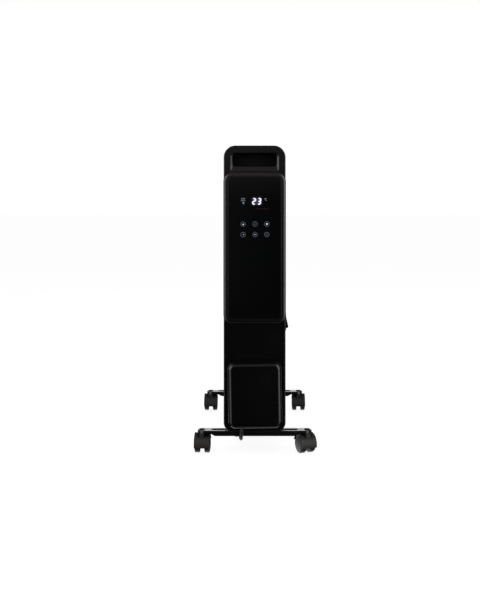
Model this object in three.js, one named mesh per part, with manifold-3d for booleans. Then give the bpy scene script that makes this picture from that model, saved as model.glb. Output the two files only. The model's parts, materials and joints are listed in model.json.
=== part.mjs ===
// Oil filled radiator heater on four twin-wheel castors.
// Units are millimetres, +Z is up, the control cover faces -Y and X runs to the right of it.
// Depths are first counted backwards from the cover's front face; the exported group then moves
// everything so that the origin lies on the floor under the middle of the heater.

import * as THREE from 'three';
import { mergeVertices } from 'three/addons/utils/BufferGeometryUtils.js';
import Module from 'manifold-3d';

const wasm = await Module();
wasm.setup();

// ---------------------------------------------------------------- driving dimensions

const SEAT = 0.3; // gap left between faces that touch on the real heater
const DEG = Math.PI / 180;

// Pressed-steel foot rails
const FOOT_LENGTH = 248;
const FOOT_WIDTH = 29;
const FOOT_ABOVE_WHEELS = 12; // plate's upper face above the tops of the wheels
const FOOT_SKIRT = 11.5; // depth of the folded edge
const FOOT_SKIRT_END = 6; // depth of the folded edge beside the castors
const FOOT_SHEET = 1.8;
const FOOT_GROOVE_WIDTH = 11;
const FOOT_GROOVE_DEPTH = 3;
const FOOT_GROOVE_FROM = 60; // groove's inner and outer ends, from the middle of the rail
const FOOT_GROOVE_TO = 94;
const FRONT_FOOT_SETBACK = 1.5; // from the cover's face to the rail's front edge

// Castors
const CASTOR_SPREAD = 114.5; // stem to middle of the rail
const WHEEL_RADIUS = 20;
const WHEEL_FACETS = 18;
const WHEEL_INNER = 5.6; // distance of a wheel's inner and outer faces from the castor's middle
const WHEEL_OUTER = 16.2;
const WHEEL_CROWN = 1.1; // how far the disc bulges past its rim
const WHEEL_DISC = 0.9; // radius of the disc's outer edge, as a share of the wheel's
const CASTOR_TRAIL = 9; // stem to wheel axle
const HOOD_GAP = 1;
const HOOD_WALL = 2;
const HOOD_NOTCH = 3.6; // clear space round the neck
const HOOD_NOTCH_DEPTH = 6; // below the tops of the wheels
const STEM_RADIUS = 2.9;
const STEM_LENGTH = 19;
const STEM_HEAD_RADIUS = 6.6;
const NECK_RADIUS = 6.8;
const AXLE_RADIUS = 2.5;
const AXLE_HALF = 13;
const CASTORS = [
  { name: 'front_left', side: -1, rail: 'front', turn: -4 },
  { name: 'front_right', side: 1, rail: 'front', turn: 25 },
  { name: 'rear_left', side: -1, rail: 'rear', turn: -2 },
  { name: 'rear_right', side: 1, rail: 'rear', turn: 1 },
];

// Oil filled fins
const FIN_COUNT = 9;
const FIN_PITCH = 48;
const FIN_WIDTH = 128;
const FIN_BELOW_COVER = 37; // tops of the fins below the top of the cover
const FIN_SHEET = 1.6;
const FIN_CORNER_TOP = 22;
const FIN_CORNER_LOW = 12;
const FIN_LIP_DEPTH = 36; // folded side edge, measured along the heater
const FIN_LIP_RETURN = 5;
const FIN_LIP_INSET = 26; // lips stop this far short of the fin's top and bottom
const CHAMBER_WIDTH = 104;
const CHAMBER_THICKNESS = 17;
const CHAMBER_MARGIN = 14; // sheet left below and above the oil space
const CHAMBER_HEADER = 62; // height of the oil space's cross headers
const CHAMBER_SLOT_WIDTH = 12;
const CHAMBER_SLOPE = 4.5; // how far the pressed walls lean in from the seam
const HEADER_RADIUS = 26;
const HEADER_BORE = 18;
const FIN_TO_COVER = 24; // first fin's middle behind the cover's rear edge

// Moulded control cover
const COVER_WIDTH = 134;
const COVER_HEIGHT = 617;
const COVER_DEPTH = 72;
const COVER_WALL = 2.6;
const COVER_FACE = 3;
const COVER_EDGE = 2;
const COVER_CORNER_TOP = 25.5;
const COVER_CORNER_LOW = 17;

// Handle pocket near the top of the cover
const POCKET_DEPTH = 34;
const POCKET_WALL = 2.4;
const POCKET_CHAMFER_DEPTH = 4.5;
const POCKET_MOUTH = { half: 52.3, belowTop: 55.8, height: 39.5, corner: 8 };
const POCKET_HOLE = { half: 48.8, belowTop: 45.7, height: 27.4, corner: 6.5 };

// Touch panel
const PANEL_OVERHANG = 0.5; // rim past the cover's side
const PANEL_HEIGHT = 321.3;
const PANEL_BELOW_TOP = 60.4; // panel's upper edge below the top of the cover
const PANEL_CORNER = 19;
const PANEL_THICKNESS = 6.5;
const PANEL_RIM = 10;
const PANEL_SLOPE = [9, 5]; // the rim's round: how far in from the edge, and how deep
const PANEL_LEDGE = 4;
const GLASS_THICKNESS = 3;
const KEY_COLUMNS = [-25.5, 0.4, 25.9];
const KEY_ROWS_BELOW_TOP = [170, 192.8];
const KEY_RADIUS = 5;
const DIGITS = { x: 4.6, belowTop: 120.7, width: 33, height: 23 };

// Rocker switch in the right-hand wall
const SWITCH_HEIGHT = 285; // pivot above the floor
const SWITCH_DEPTH = 36; // pivot behind the cover's face
const ROCKER_WIDTH = 14;
const ROCKER_HALF = 13.9;
const ROCKER_TILT = 12;
const ROCKER_PIVOT_INSET = 3; // pivot inside the cover's outer wall
const BEZEL_PROUD = 1.8;
const BEZEL_RIM = 3.4;

// Cord winder
const WINDER_LOW = 63.5;
const WINDER_WIDTH = 116;
const WINDER_HEIGHT = 142;
const WINDER_OFFSET = 0.5; // plate sits a little to the right of its hub
const WINDER_CORNER = 16.5;
const WINDER_PROUD = 33;
const WINDER_THICKNESS = 10;
const WINDER_ROUNDING = 9.4;
const WINDER_SKEW = 0.9; // the plate sits slightly turned on its hub
const WINDER_WALL = 2.4;
const HUB_WIDTH = 66;
const HUB_HEIGHT = 78;
const HUB_CORNER = 12;
const HUB_LOW = 96;

// Mains lead
const CORD_DIAMETER = 7;
const GLAND_LENGTH = 23;
const COIL_CENTRE = [0, 246];
const COIL_OUTER = 47.3; // centre line of the outermost and innermost turns
const COIL_INNER = 29.8;
const COIL_LAYERS = 2;
const LEAD_ROUTE = [
  [-27.5, -13.75, 72.4],
  [-27.7, -13.75, 66],
  [-28, -13.4, 58.5],
  [-28.3, -11.2, 49.5],
  [-28.7, -6.5, 41.6],
  [-29.1, 0.4, 36],
  [-29.6, 8.9, 32.9],
  [-30.2, 18, 31.9],
  [-31, 32, 31.2],
  [-32.2, 50, 29.3],
  [-34, 72, 25.9],
  [-36.4, 96, 21],
  [-39.5, 120, 15.2],
  [-42.4, 142, 9.6],
  [-44.6, 161, 5.7],
  [-46.1, 178, 4],
  [-47, 195, 3.6],
  [-47.3, 208, 3.6],
  [-47.3, 219.4, 3.6],
];
const PLUG_AXIS_HEIGHT = 19.4;
const PLUG_START = 258;

// ---------------------------------------------------------------- places worked out from them

const FRONT_FOOT = FRONT_FOOT_SETBACK + FOOT_WIDTH / 2;
const FIRST_FIN = COVER_DEPTH + FIN_TO_COVER;
const LAST_FIN = FIRST_FIN + (FIN_COUNT - 1) * FIN_PITCH;
const REAR_FOOT = LAST_FIN - FIN_PITCH / 2;
const FOOT_TOP = 2 * WHEEL_RADIUS + FOOT_ABOVE_WHEELS;
const FIN_LOW = FOOT_TOP + SEAT;
const FIN_HIGH = FIN_LOW + COVER_HEIGHT - FIN_BELOW_COVER;
const HEADER_LOW = FIN_LOW + CHAMBER_MARGIN + CHAMBER_HEADER / 2;
const HEADER_HIGH = FIN_HIGH - CHAMBER_MARGIN - CHAMBER_HEADER / 2;
const COVER_LOW = FOOT_TOP + SEAT;
const COVER_TOP = COVER_LOW + COVER_HEIGHT;
const COVER_SIDE = COVER_WIDTH / 2;
const PANEL_WIDTH = COVER_WIDTH + 2 * PANEL_OVERHANG;
const PANEL_TOP = COVER_TOP - PANEL_BELOW_TOP;
const PANEL_LOW = PANEL_TOP - PANEL_HEIGHT;
const PANEL_FRONT = -SEAT - PANEL_THICKNESS;
const GLASS_FRONT = PANEL_FRONT + 0.2;
const GLASS_BACK = GLASS_FRONT + GLASS_THICKNESS;
const WINDER_FRONT = -WINDER_PROUD;
const WINDER_BACK = WINDER_FRONT + WINDER_THICKNESS;
const BODY_BACK = LAST_FIN + FIN_LIP_DEPTH / 2;
const MIDDLE = (BODY_BACK + WINDER_FRONT) / 2;
const CHASSIS_SHEET = 2;
const CHASSIS_FRONT = COVER_DEPTH - 6;
const CHASSIS_BACK = CHASSIS_FRONT + CHASSIS_SHEET;
const SHELF_LOW = COVER_LOW + COVER_WALL + SEAT;
const HOOD_INNER = WHEEL_RADIUS + HOOD_GAP;
const HOOD_OUTER = HOOD_INNER + HOOD_WALL;
const CASTOR_SWEEP = WHEEL_RADIUS + CASTOR_TRAIL - 0.5; // rail's skirt is cut away this near a stem
const FRONT_BOLT_SPREAD = 40;
const BOLT_RADIUS = 3;

// ---------------------------------------------------------------- finishes

function finish(color, roughness, metalness = 0) {
  return new THREE.MeshStandardMaterial({ color, roughness, metalness });
}

const satinPlastic = finish(0x0c0c0d, 0.42);
const mattePlastic = finish(0x2a2a2b, 0.62);
const wheelPlastic = finish(0x3a3a3c, 0.55);
const blackGlass = finish(0x040405, 0.05);
const trimPlastic = finish(0x1b1213, 0.22);
const blackPaint = finish(0x0a0a0b, 0.25, 0.1);
const zincSteel = finish(0xb9bcc0, 0.35, 1);
const brass = finish(0xb08d4c, 0.3, 1);
const circuitBoard = finish(0x17412c, 0.5);
const insulator = finish(0xe6e0d2, 0.6);
const cordRubber = finish(0x121213, 0.6);
const aluminium = finish(0xd2d4d6, 0.3, 1);

// ---------------------------------------------------------------- working tools

const AXES = {
  xy: new THREE.Matrix4(),
  xz: new THREE.Matrix4().makeBasis(
    new THREE.Vector3(1, 0, 0),
    new THREE.Vector3(0, 0, 1),
    new THREE.Vector3(0, -1, 0),
  ),
  yz: new THREE.Matrix4().makeBasis(
    new THREE.Vector3(0, 1, 0),
    new THREE.Vector3(0, 0, 1),
    new THREE.Vector3(1, 0, 0),
  ),
};

// A closed geometry as a solid that can be joined and cut.
function solid(geometry) {
  const bare = geometry.clone();
  bare.deleteAttribute('normal');
  bare.deleteAttribute('uv');
  const merged = mergeVertices(bare, 1e-4);
  const made = new wasm.Manifold(
    new wasm.Mesh({
      numProp: 3,
      vertProperties: new Float32Array(merged.attributes.position.array),
      triVerts: new Uint32Array(merged.index.array),
    }),
  );
  return made;
}

function join(...pieces) {
  return pieces.reduce((sum, piece) => sum.add(piece));
}

function cut(body, ...tools) {
  return tools.reduce((rest, tool) => rest.subtract(tool), body);
}

function geometryOf(body) {
  const mesh = body.getMesh();
  const geometry = new THREE.BufferGeometry();
  geometry.setAttribute('position', new THREE.BufferAttribute(mesh.vertProperties, 3));
  geometry.setIndex(new THREE.BufferAttribute(mesh.triVerts, 1));
  geometry.computeVertexNormals();
  return geometry;
}

function named(name, body, material) {
  const mesh = new THREE.Mesh(geometryOf(body), material);
  mesh.name = name;
  return mesh;
}

// A flat outline given a thickness between two planes.
function slab(shape, plane, from, to, curveSegments = 2) {
  const geometry = new THREE.ExtrudeGeometry(shape, {
    depth: to - from,
    bevelEnabled: false,
    curveSegments,
  });
  geometry.applyMatrix4(AXES[plane]);
  if (plane === 'xy') geometry.translate(0, 0, from);
  if (plane === 'xz') geometry.translate(0, to, 0);
  if (plane === 'yz') geometry.translate(from, 0, 0);
  return solid(geometry);
}

function box(x0, x1, y0, y1, z0, z1) {
  const geometry = new THREE.BoxGeometry(x1 - x0, y1 - y0, z1 - z0);
  geometry.translate((x0 + x1) / 2, (y0 + y1) / 2, (z0 + z1) / 2);
  return solid(geometry);
}

// A profile of [radius, height] turned about a line along x, y or z. It starts and ends on the axis
// or closes on itself.
function turned(profile, axis, segments, centre = [0, 0, 0], phase = 0) {
  const points = profile.map(([radius, height]) => new THREE.Vector2(radius, height));
  const geometry = new THREE.LatheGeometry(points, segments, phase);
  if (axis === 'z') geometry.rotateX(Math.PI / 2);
  if (axis === 'x') geometry.rotateZ(-Math.PI / 2);
  geometry.translate(...centre);
  const made = solid(geometry);
  if (made.volume() > 0) return made;
  const index = geometry.index;
  for (let i = 0; i < index.count; i += 3) {
    const first = index.getX(i);
    index.setX(i, index.getX(i + 1));
    index.setX(i + 1, first);
  }
  return solid(geometry);
}

function cylinder(radius, axis, from, to, centre, segments = 16) {
  const profile = [[0, from], [radius, from], [radius, to], [0, to]];
  return turned(profile, axis, segments, centre);
}

function roundedRect(x0, y0, x1, y1, low, high = low) {
  const shape = new THREE.Shape();
  shape.moveTo(x0 + low, y0);
  shape.lineTo(x1 - low, y0);
  shape.absarc(x1 - low, y0 + low, low, -Math.PI / 2, 0);
  shape.lineTo(x1, y1 - high);
  shape.absarc(x1 - high, y1 - high, high, 0, Math.PI / 2);
  shape.lineTo(x0 + high, y1);
  shape.absarc(x0 + high, y1 - high, high, Math.PI / 2, Math.PI);
  shape.lineTo(x0, y0 + low);
  shape.absarc(x0 + low, y0 + low, low, Math.PI, 1.5 * Math.PI);
  return shape;
}

// A rounded rectangle in the XZ plane, described by its half width, ends and corner radii.
function outline(half, low, high, radiusLow, radiusHigh, steps) {
  const corners = [
    [half - radiusLow, low + radiusLow, radiusLow, -90],
    [half - radiusHigh, high - radiusHigh, radiusHigh, 0],
    [-half + radiusHigh, high - radiusHigh, radiusHigh, 90],
    [-half + radiusLow, low + radiusLow, radiusLow, 180],
  ];
  const points = [];
  for (const [x, z, radius, start] of corners) {
    for (let i = 0; i <= steps; i += 1) {
      const angle = (start + (90 * i) / steps) * DEG;
      points.push([x + radius * Math.cos(angle), z + radius * Math.sin(angle)]);
    }
  }
  return points;
}

// A solid skinned over outlines that follow each other backwards. All have as many points.
function skinned(sections) {
  const count = sections[0].points.length;
  const positions = [];
  const index = [];
  for (const { y, points } of sections) {
    for (const [x, z] of points) positions.push(x, y, z);
  }
  for (let s = 0; s < sections.length - 1; s += 1) {
    for (let i = 0; i < count; i += 1) {
      const a = s * count + i;
      const b = s * count + ((i + 1) % count);
      index.push(a, b, b + count, a, b + count, a + count);
    }
  }
  const last = (sections.length - 1) * count;
  for (let i = 1; i < count - 1; i += 1) {
    index.push(0, i + 1, i, last, last + i, last + i + 1);
  }
  const geometry = new THREE.BufferGeometry();
  geometry.setAttribute('position', new THREE.Float32BufferAttribute(positions, 3));
  geometry.setIndex(index);
  const made = solid(geometry);
  if (made.volume() > 0) return made;
  for (let i = 0; i < index.length; i += 3) [index[i], index[i + 1]] = [index[i + 1], index[i]];
  geometry.setIndex(index);
  return solid(geometry);
}

// A bar of round section along a smooth line through the given points.
function bar(points, radius, steps, sides = 10) {
  const section = new THREE.Shape();
  section.absarc(0, 0, radius, 0, 2 * Math.PI);
  const line = new THREE.CatmullRomCurve3(points.map((p) => new THREE.Vector3(...p)), false, 'centripetal');
  const geometry = new THREE.ExtrudeGeometry(section, {
    steps,
    extrudePath: line,
    curveSegments: sides / 2,
  });
  return solid(geometry);
}

// ---------------------------------------------------------------- fins

// The side view of the oil space: a header across each end and three channels between them.
function chamberShape() {
  const half = CHAMBER_WIDTH / 2;
  const low = FIN_LOW + CHAMBER_MARGIN;
  const high = FIN_HIGH - CHAMBER_MARGIN;
  const shape = roundedRect(-half, low, half, high, 20, 24);
  const slotLow = low + CHAMBER_HEADER;
  const slotHigh = high - CHAMBER_HEADER;
  for (const side of [-1, 1]) {
    const x = (side * CHAMBER_WIDTH) / 6;
    const w = CHAMBER_SLOT_WIDTH / 2;
    const c = CHAMBER_SLOT_WIDTH / 3;
    const hole = [
      [x - w, slotLow + c],
      [x - w, slotHigh - c],
      [x, slotHigh],
      [x + w, slotHigh - c],
      [x + w, slotLow + c],
      [x, slotLow],
    ];
    shape.holes.push(new THREE.Path(hole.map(([u, v]) => new THREE.Vector2(u, v))));
  }
  return shape;
}

function chamber(y) {
  const seam = FIN_SHEET / 2 - 0.1;
  const geometry = new THREE.ExtrudeGeometry(chamberShape(), {
    depth: 2 * seam,
    bevelEnabled: true,
    bevelThickness: CHAMBER_THICKNESS / 2 - seam,
    bevelSize: CHAMBER_SLOPE,
    bevelOffset: -CHAMBER_SLOPE,
    bevelSegments: 1,
    curveSegments: 1,
  });
  geometry.applyMatrix4(AXES.xz);
  geometry.translate(0, y + seam, 0);
  return solid(geometry);
}

// The side edge of a fin, folded both ways and hemmed back on itself.
function lip(side, y) {
  const outer = (side * FIN_WIDTH) / 2;
  const inner = outer - side * FIN_SHEET;
  const hem = outer - side * FIN_LIP_RETURN;
  const half = FIN_LIP_DEPTH / 2;
  const shape = new THREE.Shape([
    [hem, half],
    [hem, half - FIN_SHEET],
    [inner, half - FIN_SHEET],
    [inner, -half + FIN_SHEET],
    [hem, -half + FIN_SHEET],
    [hem, -half],
    [outer, -half],
    [outer, half],
  ].map(([x, v]) => new THREE.Vector2(x, y + v)));
  return slab(shape, 'xy', FIN_LOW + FIN_LIP_INSET, FIN_HIGH - FIN_LIP_INSET);
}

function fin(number) {
  const y = FIRST_FIN + number * FIN_PITCH;
  const first = number === 0;
  const last = number === FIN_COUNT - 1;
  const half = FIN_WIDTH / 2 - FIN_SHEET / 2;
  const web = slab(
    roundedRect(-half, FIN_LOW, half, FIN_HIGH, FIN_CORNER_LOW, FIN_CORNER_TOP),
    'xz',
    y - FIN_SHEET / 2,
    y + FIN_SHEET / 2,
    1,
  );
  const reach = FIN_PITCH / 2 - SEAT / 2;
  const front = y - (first ? CHAMBER_THICKNESS / 2 + 5 : reach);
  const back = y + (last ? CHAMBER_THICKNESS / 2 + 2 : reach);
  const low = cylinder(HEADER_RADIUS, 'y', front, back, [0, 0, HEADER_LOW], 8);
  const high = cylinder(HEADER_RADIUS, 'y', front, back, [0, 0, HEADER_HIGH], 8);
  const boreBack = last ? y : back + 1;
  const bore = cylinder(HEADER_BORE, 'y', front - 1, boreBack, [0, 0, HEADER_LOW], 8);
  return cut(join(web, chamber(y), lip(-1, y), lip(1, y), low, high), bore);
}

// ---------------------------------------------------------------- feet

function stadium(length, width, y) {
  const r = width / 2;
  return roundedRect(-length / 2, y - r, length / 2, y + r, r - 0.01);
}

function footRail(y, boltSpread) {
  const low = FOOT_TOP - FOOT_SKIRT;
  const skin = slab(stadium(FOOT_LENGTH, FOOT_WIDTH, y), 'xy', low, FOOT_TOP, 2);
  const inside = slab(
    stadium(FOOT_LENGTH - 2 * FOOT_SHEET, FOOT_WIDTH - 2 * FOOT_SHEET, y),
    'xy',
    low - 1,
    FOOT_TOP - FOOT_SHEET,
    2,
  );
  let rail = cut(skin, inside);
  const endLow = FOOT_TOP - FOOT_SKIRT_END;
  for (const side of [-1, 1]) {
    const middle = (side * (FOOT_GROOVE_FROM + FOOT_GROOVE_TO)) / 2;
    const grooveLength = FOOT_GROOVE_TO - FOOT_GROOVE_FROM;
    const tubShape = stadium(grooveLength + 2 * FOOT_SHEET, FOOT_GROOVE_WIDTH + 2 * FOOT_SHEET, y);
    const tub = slab(tubShape, 'xy', FOOT_TOP - FOOT_GROOVE_DEPTH - FOOT_SHEET, FOOT_TOP - 0.5, 1);
    const groove = slab(
      stadium(grooveLength, FOOT_GROOVE_WIDTH, y),
      'xy',
      FOOT_TOP - FOOT_GROOVE_DEPTH,
      FOOT_TOP + 1,
      1,
    );
    rail = rail.add(tub.translate(middle, 0, 0)).subtract(groove.translate(middle, 0, 0));
    const relief = new THREE.Shape([
      new THREE.Vector2(side * (CASTOR_SPREAD - CASTOR_SWEEP), low - 1),
      new THREE.Vector2(side * (CASTOR_SPREAD - CASTOR_SWEEP), low),
      new THREE.Vector2(side * (CASTOR_SPREAD - CASTOR_SWEEP + 10.5), endLow),
      new THREE.Vector2(side * FOOT_LENGTH, endLow),
      new THREE.Vector2(side * FOOT_LENGTH, low - 1),
    ]);
    rail = rail.subtract(slab(relief, 'xz', y - FOOT_WIDTH, y + FOOT_WIDTH));
    rail = rail.subtract(
      cylinder(STEM_RADIUS + SEAT, 'z', FOOT_TOP - 5, FOOT_TOP + 5, [side * CASTOR_SPREAD, y, 0], 10),
    );
    rail = rail.subtract(
      cylinder(BOLT_RADIUS + SEAT, 'z', FOOT_TOP - 5, FOOT_TOP + 5, [side * boltSpread, y, 0], 8),
    );
  }
  return rail;
}

// A nut with two wings, on a bolt that comes down through a foot rail.
function wingNut(x, y) {
  const top = FOOT_TOP - FOOT_SHEET - SEAT;
  const bore = BOLT_RADIUS + SEAT;
  const body = turned([[bore, top - 5], [6, top - 5], [7, top], [bore, top], [bore, top - 5]], 'z', 12, [x, y, 0]);
  const wings = [-1, 1].map((side) => {
    const shape = new THREE.Shape([
      new THREE.Vector2(x + side * 5, top - 4.6),
      new THREE.Vector2(x + side * 11.5, top - 9),
      new THREE.Vector2(x + side * 13, top - 5.5),
      new THREE.Vector2(x + side * 12, top - 1.6),
      new THREE.Vector2(x + side * 5, top - 0.8),
    ]);
    return slab(shape, 'xz', y - 1.1, y + 1.1);
  });
  return join(body, ...wings);
}

function carriageBolt(x, y) {
  const shelf = SHELF_LOW + CHASSIS_SHEET + SEAT;
  const end = FOOT_TOP - FOOT_SHEET - 8;
  const profile = [[0, end], [BOLT_RADIUS, end], [BOLT_RADIUS, shelf], [7, shelf], [5.4, shelf + 2.6], [0, shelf + 3.4]];
  return turned(profile, 'z', 12, [x, y, 0]);
}

const U_BOLT_SPREAD = HEADER_RADIUS + BOLT_RADIUS + SEAT;

// Goes over the lower header between the last two fins and down through the rear rail.
function uBolt() {
  const end = FOOT_TOP - FOOT_SHEET - 8;
  const points = [[-U_BOLT_SPREAD, REAR_FOOT, end], [-U_BOLT_SPREAD, REAR_FOOT, (end + HEADER_LOW) / 2]];
  const arcSteps = 8;
  for (let i = 0; i <= arcSteps; i += 1) {
    const angle = Math.PI * (1 - i / arcSteps);
    points.push([
      U_BOLT_SPREAD * Math.cos(angle),
      REAR_FOOT,
      HEADER_LOW + (U_BOLT_SPREAD + 0.3) * Math.sin(angle),
    ]);
  }
  points.push([U_BOLT_SPREAD, REAR_FOOT, (end + HEADER_LOW) / 2], [U_BOLT_SPREAD, REAR_FOOT, end]);
  return bar(points, BOLT_RADIUS, 20, 8);
}

// ---------------------------------------------------------------- castors

// The moulded body between a castor's wheels, with a mudguard over both and a neck for the stem.
function castorHood() {
  const axleY = CASTOR_TRAIL;
  const axleZ = WHEEL_RADIUS;
  const from = 15 * DEG;
  const to = 197 * DEG;
  const guardShape = new THREE.Shape();
  guardShape.absarc(axleY, axleZ, HOOD_OUTER, from, to);
  guardShape.absarc(axleY, axleZ, HOOD_INNER, to, from, true);
  const side = WHEEL_OUTER + 0.4;
  const guard = slab(guardShape, 'yz', -side, side, 4);
  const webHalf = WHEEL_INNER - 0.6;
  const webShape = new THREE.Shape();
  webShape.absarc(axleY, axleZ, HOOD_OUTER - 1, -30 * DEG, 197 * DEG);
  const web = slab(webShape, 'yz', -webHalf, webHalf, 4);
  const notchLow = 2 * WHEEL_RADIUS - HOOD_NOTCH_DEPTH;
  const notch = cylinder(NECK_RADIUS + HOOD_NOTCH, 'z', notchLow, FOOT_TOP, [0, 0, 0], 10);
  const neckLow = axleZ + WHEEL_RADIUS + 1.4;
  const neckTop = FOOT_TOP - FOOT_SHEET - SEAT;
  const pillar = box(-webHalf, webHalf, -NECK_RADIUS, NECK_RADIUS, notchLow - HOOD_NOTCH_DEPTH, neckLow + 1);
  const neck = turned(
    [[0, neckLow], [NECK_RADIUS, neckLow], [NECK_RADIUS, neckTop - 3], [NECK_RADIUS - 1, neckTop], [0, neckTop]],
    'z',
    10,
  );
  const stemLow = FOOT_TOP - STEM_LENGTH;
  const stemBore = cylinder(STEM_RADIUS + SEAT, 'z', stemLow - SEAT, FOOT_TOP, [0, 0, 0], 8);
  const axleBore = cylinder(AXLE_RADIUS + SEAT, 'x', -side, side, [0, axleY, axleZ], 8);
  return cut(join(cut(join(guard, web), notch), pillar, neck), stemBore, axleBore);
}

function castorStem() {
  const top = FOOT_TOP + SEAT;
  const low = FOOT_TOP - STEM_LENGTH;
  return turned(
    [[0, low], [STEM_RADIUS, low], [STEM_RADIUS, top], [STEM_HEAD_RADIUS, top], [STEM_HEAD_RADIUS - 0.8, top + 1.4],
      [0, top + 2.1]],
    'z',
    12,
  );
}

function castorAxle() {
  return cylinder(AXLE_RADIUS, 'x', -AXLE_HALF, AXLE_HALF, [0, CASTOR_TRAIL, WHEEL_RADIUS], 12);
}

function castorWheel(side) {
  const rim = WHEEL_RADIUS / Math.cos(Math.PI / WHEEL_FACETS);
  const profile = [
    [0, WHEEL_OUTER + WHEEL_CROWN],
    [WHEEL_RADIUS / 2, WHEEL_OUTER + WHEEL_CROWN],
    [WHEEL_RADIUS * WHEEL_DISC, WHEEL_OUTER],
    [rim, WHEEL_OUTER - 1.6],
    [rim, WHEEL_INNER],
    [AXLE_RADIUS + SEAT, WHEEL_INNER],
    [AXLE_RADIUS + SEAT, AXLE_HALF + SEAT],
    [0, AXLE_HALF + SEAT],
  ].map(([radius, x]) => [radius, side * x]);
  return turned(profile, 'x', WHEEL_FACETS, [0, CASTOR_TRAIL, WHEEL_RADIUS], Math.PI / WHEEL_FACETS);
}

// ---------------------------------------------------------------- control cover

function pocketSection(rim, y) {
  const low = COVER_TOP - rim.belowTop;
  return { y, points: outline(rim.half, low, low + rim.height, rim.corner, rim.corner, 3) };
}

function coverShell() {
  const section = (y, inset) => ({
    y,
    points: outline(
      COVER_SIDE - inset,
      COVER_LOW + inset,
      COVER_TOP - inset,
      COVER_CORNER_LOW - inset,
      COVER_CORNER_TOP - inset,
      6,
    ),
  });
  const skin = skinned([
    section(0, COVER_EDGE),
    section(COVER_EDGE * 0.3, COVER_EDGE * 0.3),
    section(COVER_EDGE, 0),
    section(COVER_DEPTH, 0),
  ]);
  const hollow = skinned([section(COVER_FACE, COVER_WALL), section(COVER_DEPTH + 1, COVER_WALL)]);
  return cut(skin, hollow);
}

function frontCover() {
  const pocketLow = COVER_TOP - POCKET_MOUTH.belowTop - POCKET_WALL;
  const pocketHigh = pocketLow + POCKET_MOUTH.height + 2 * POCKET_WALL;
  const pocketHalf = POCKET_MOUTH.half + POCKET_WALL;
  const tub = skinned(
    [COVER_FACE - 1, POCKET_DEPTH + POCKET_WALL].map((y) => ({
      y,
      points: outline(pocketHalf, pocketLow, pocketHigh, POCKET_MOUTH.corner, POCKET_MOUTH.corner, 3),
    })),
  );
  const hole = skinned([
    pocketSection(POCKET_MOUTH, -0.01),
    pocketSection(POCKET_HOLE, POCKET_CHAMFER_DEPTH),
    pocketSection(POCKET_HOLE, POCKET_DEPTH),
  ]);
  const window = box(-46, 46, -5, COVER_FACE + 2, PANEL_TOP - 160, PANEL_TOP - 30);
  const cutHalf = ROCKER_WIDTH / 2 + BEZEL_RIM - 0.4 + SEAT;
  const cutTall = switchReach() + 1.8 + SEAT;
  const switchHole = box(
    COVER_SIDE - COVER_WALL - 2,
    COVER_SIDE + 2,
    SWITCH_DEPTH - cutHalf,
    SWITCH_DEPTH + cutHalf,
    SWITCH_HEIGHT - cutTall,
    SWITCH_HEIGHT + cutTall,
  );
  let cover = cut(join(coverShell(), tub), hole, window, switchHole);
  for (const side of [-1, 1]) {
    const bolt = [side * FRONT_BOLT_SPREAD, FRONT_FOOT, 0];
    cover = cut(cover, cylinder(BOLT_RADIUS + 2 * SEAT, 'z', COVER_LOW - 1, SHELF_LOW + 1, bolt, 8));
    for (let i = 0; i < 5; i += 1) {
      const z = COVER_LOW + 40 + 12 * i;
      const x = side * COVER_SIDE;
      cover = cut(cover, box(x - 5, x + 5, 18, 56, z, z + 4));
    }
  }
  return cover;
}

// A pressed plate that closes the cover's back, stands on the front rail and is held off the first
// fin by four spacers.
const SPACER_SPREAD = (CHAMBER_WIDTH * 3) / 8 - 1; // over the outer channels of the first fin
const SPACER_IN = 90; // towards the middle of the fin from each header
const SPACERS = [
  [-SPACER_SPREAD, HEADER_LOW + SPACER_IN],
  [SPACER_SPREAD, HEADER_LOW + SPACER_IN],
  [-SPACER_SPREAD, HEADER_HIGH - SPACER_IN],
  [SPACER_SPREAD, HEADER_HIGH - SPACER_IN],
];

function chassisPlate() {
  const inset = COVER_WALL + SEAT;
  const plate = skinned(
    [CHASSIS_FRONT, CHASSIS_BACK].map((y) => ({
      y,
      points: outline(
        COVER_SIDE - inset,
        COVER_LOW + inset,
        COVER_TOP - inset,
        COVER_CORNER_LOW - inset,
        COVER_CORNER_TOP - inset,
        3,
      ),
    })),
  );
  const shelf = box(-50, 50, 6, CHASSIS_BACK, SHELF_LOW, SHELF_LOW + CHASSIS_SHEET);
  const finFace = FIRST_FIN - CHAMBER_THICKNESS / 2 - SEAT;
  const spacers = SPACERS.map(([x, z]) => cylinder(5, 'y', CHASSIS_FRONT + 0.5, finFace, [x, 0, z], 8));
  const port = cylinder(24, 'y', CHASSIS_FRONT - 1, CHASSIS_BACK + 1, [0, 0, HEADER_LOW], 20);
  let plateWithHoles = cut(join(plate, shelf, ...spacers), port);
  for (const side of [-1, 1]) {
    const bolt = [side * FRONT_BOLT_SPREAD, FRONT_FOOT, 0];
    plateWithHoles = cut(plateWithHoles, cylinder(BOLT_RADIUS + SEAT, 'z', SHELF_LOW - 1, SHELF_LOW + 4, bolt, 8));
    for (let i = 0; i < 3; i += 1) {
      const z = FIN_HIGH - 60 + 15 * i;
      plateWithHoles = cut(
        plateWithHoles,
        box(side * 32 - 20, side * 32 + 20, CHASSIS_FRONT - 1, CHASSIS_BACK + 1, z, z + 5),
      );
    }
  }
  return plateWithHoles;
}

const SHIELD_FRONT = CHASSIS_BACK + 4;

function heatShield() {
  const low = HEADER_LOW + HEADER_RADIUS + 12;
  const shield = slab(roundedRect(-58, low, 58, FIN_HIGH - 12, 6, 18), 'xz', SHIELD_FRONT, SHIELD_FRONT + 1);
  const holes = SPACERS.map(([x, z]) => cylinder(5 + 2 * SEAT, 'y', SHIELD_FRONT - 1, SHIELD_FRONT + 2, [x, 0, z], 8));
  return cut(shield, ...holes);
}

// ---------------------------------------------------------------- touch panel

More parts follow.
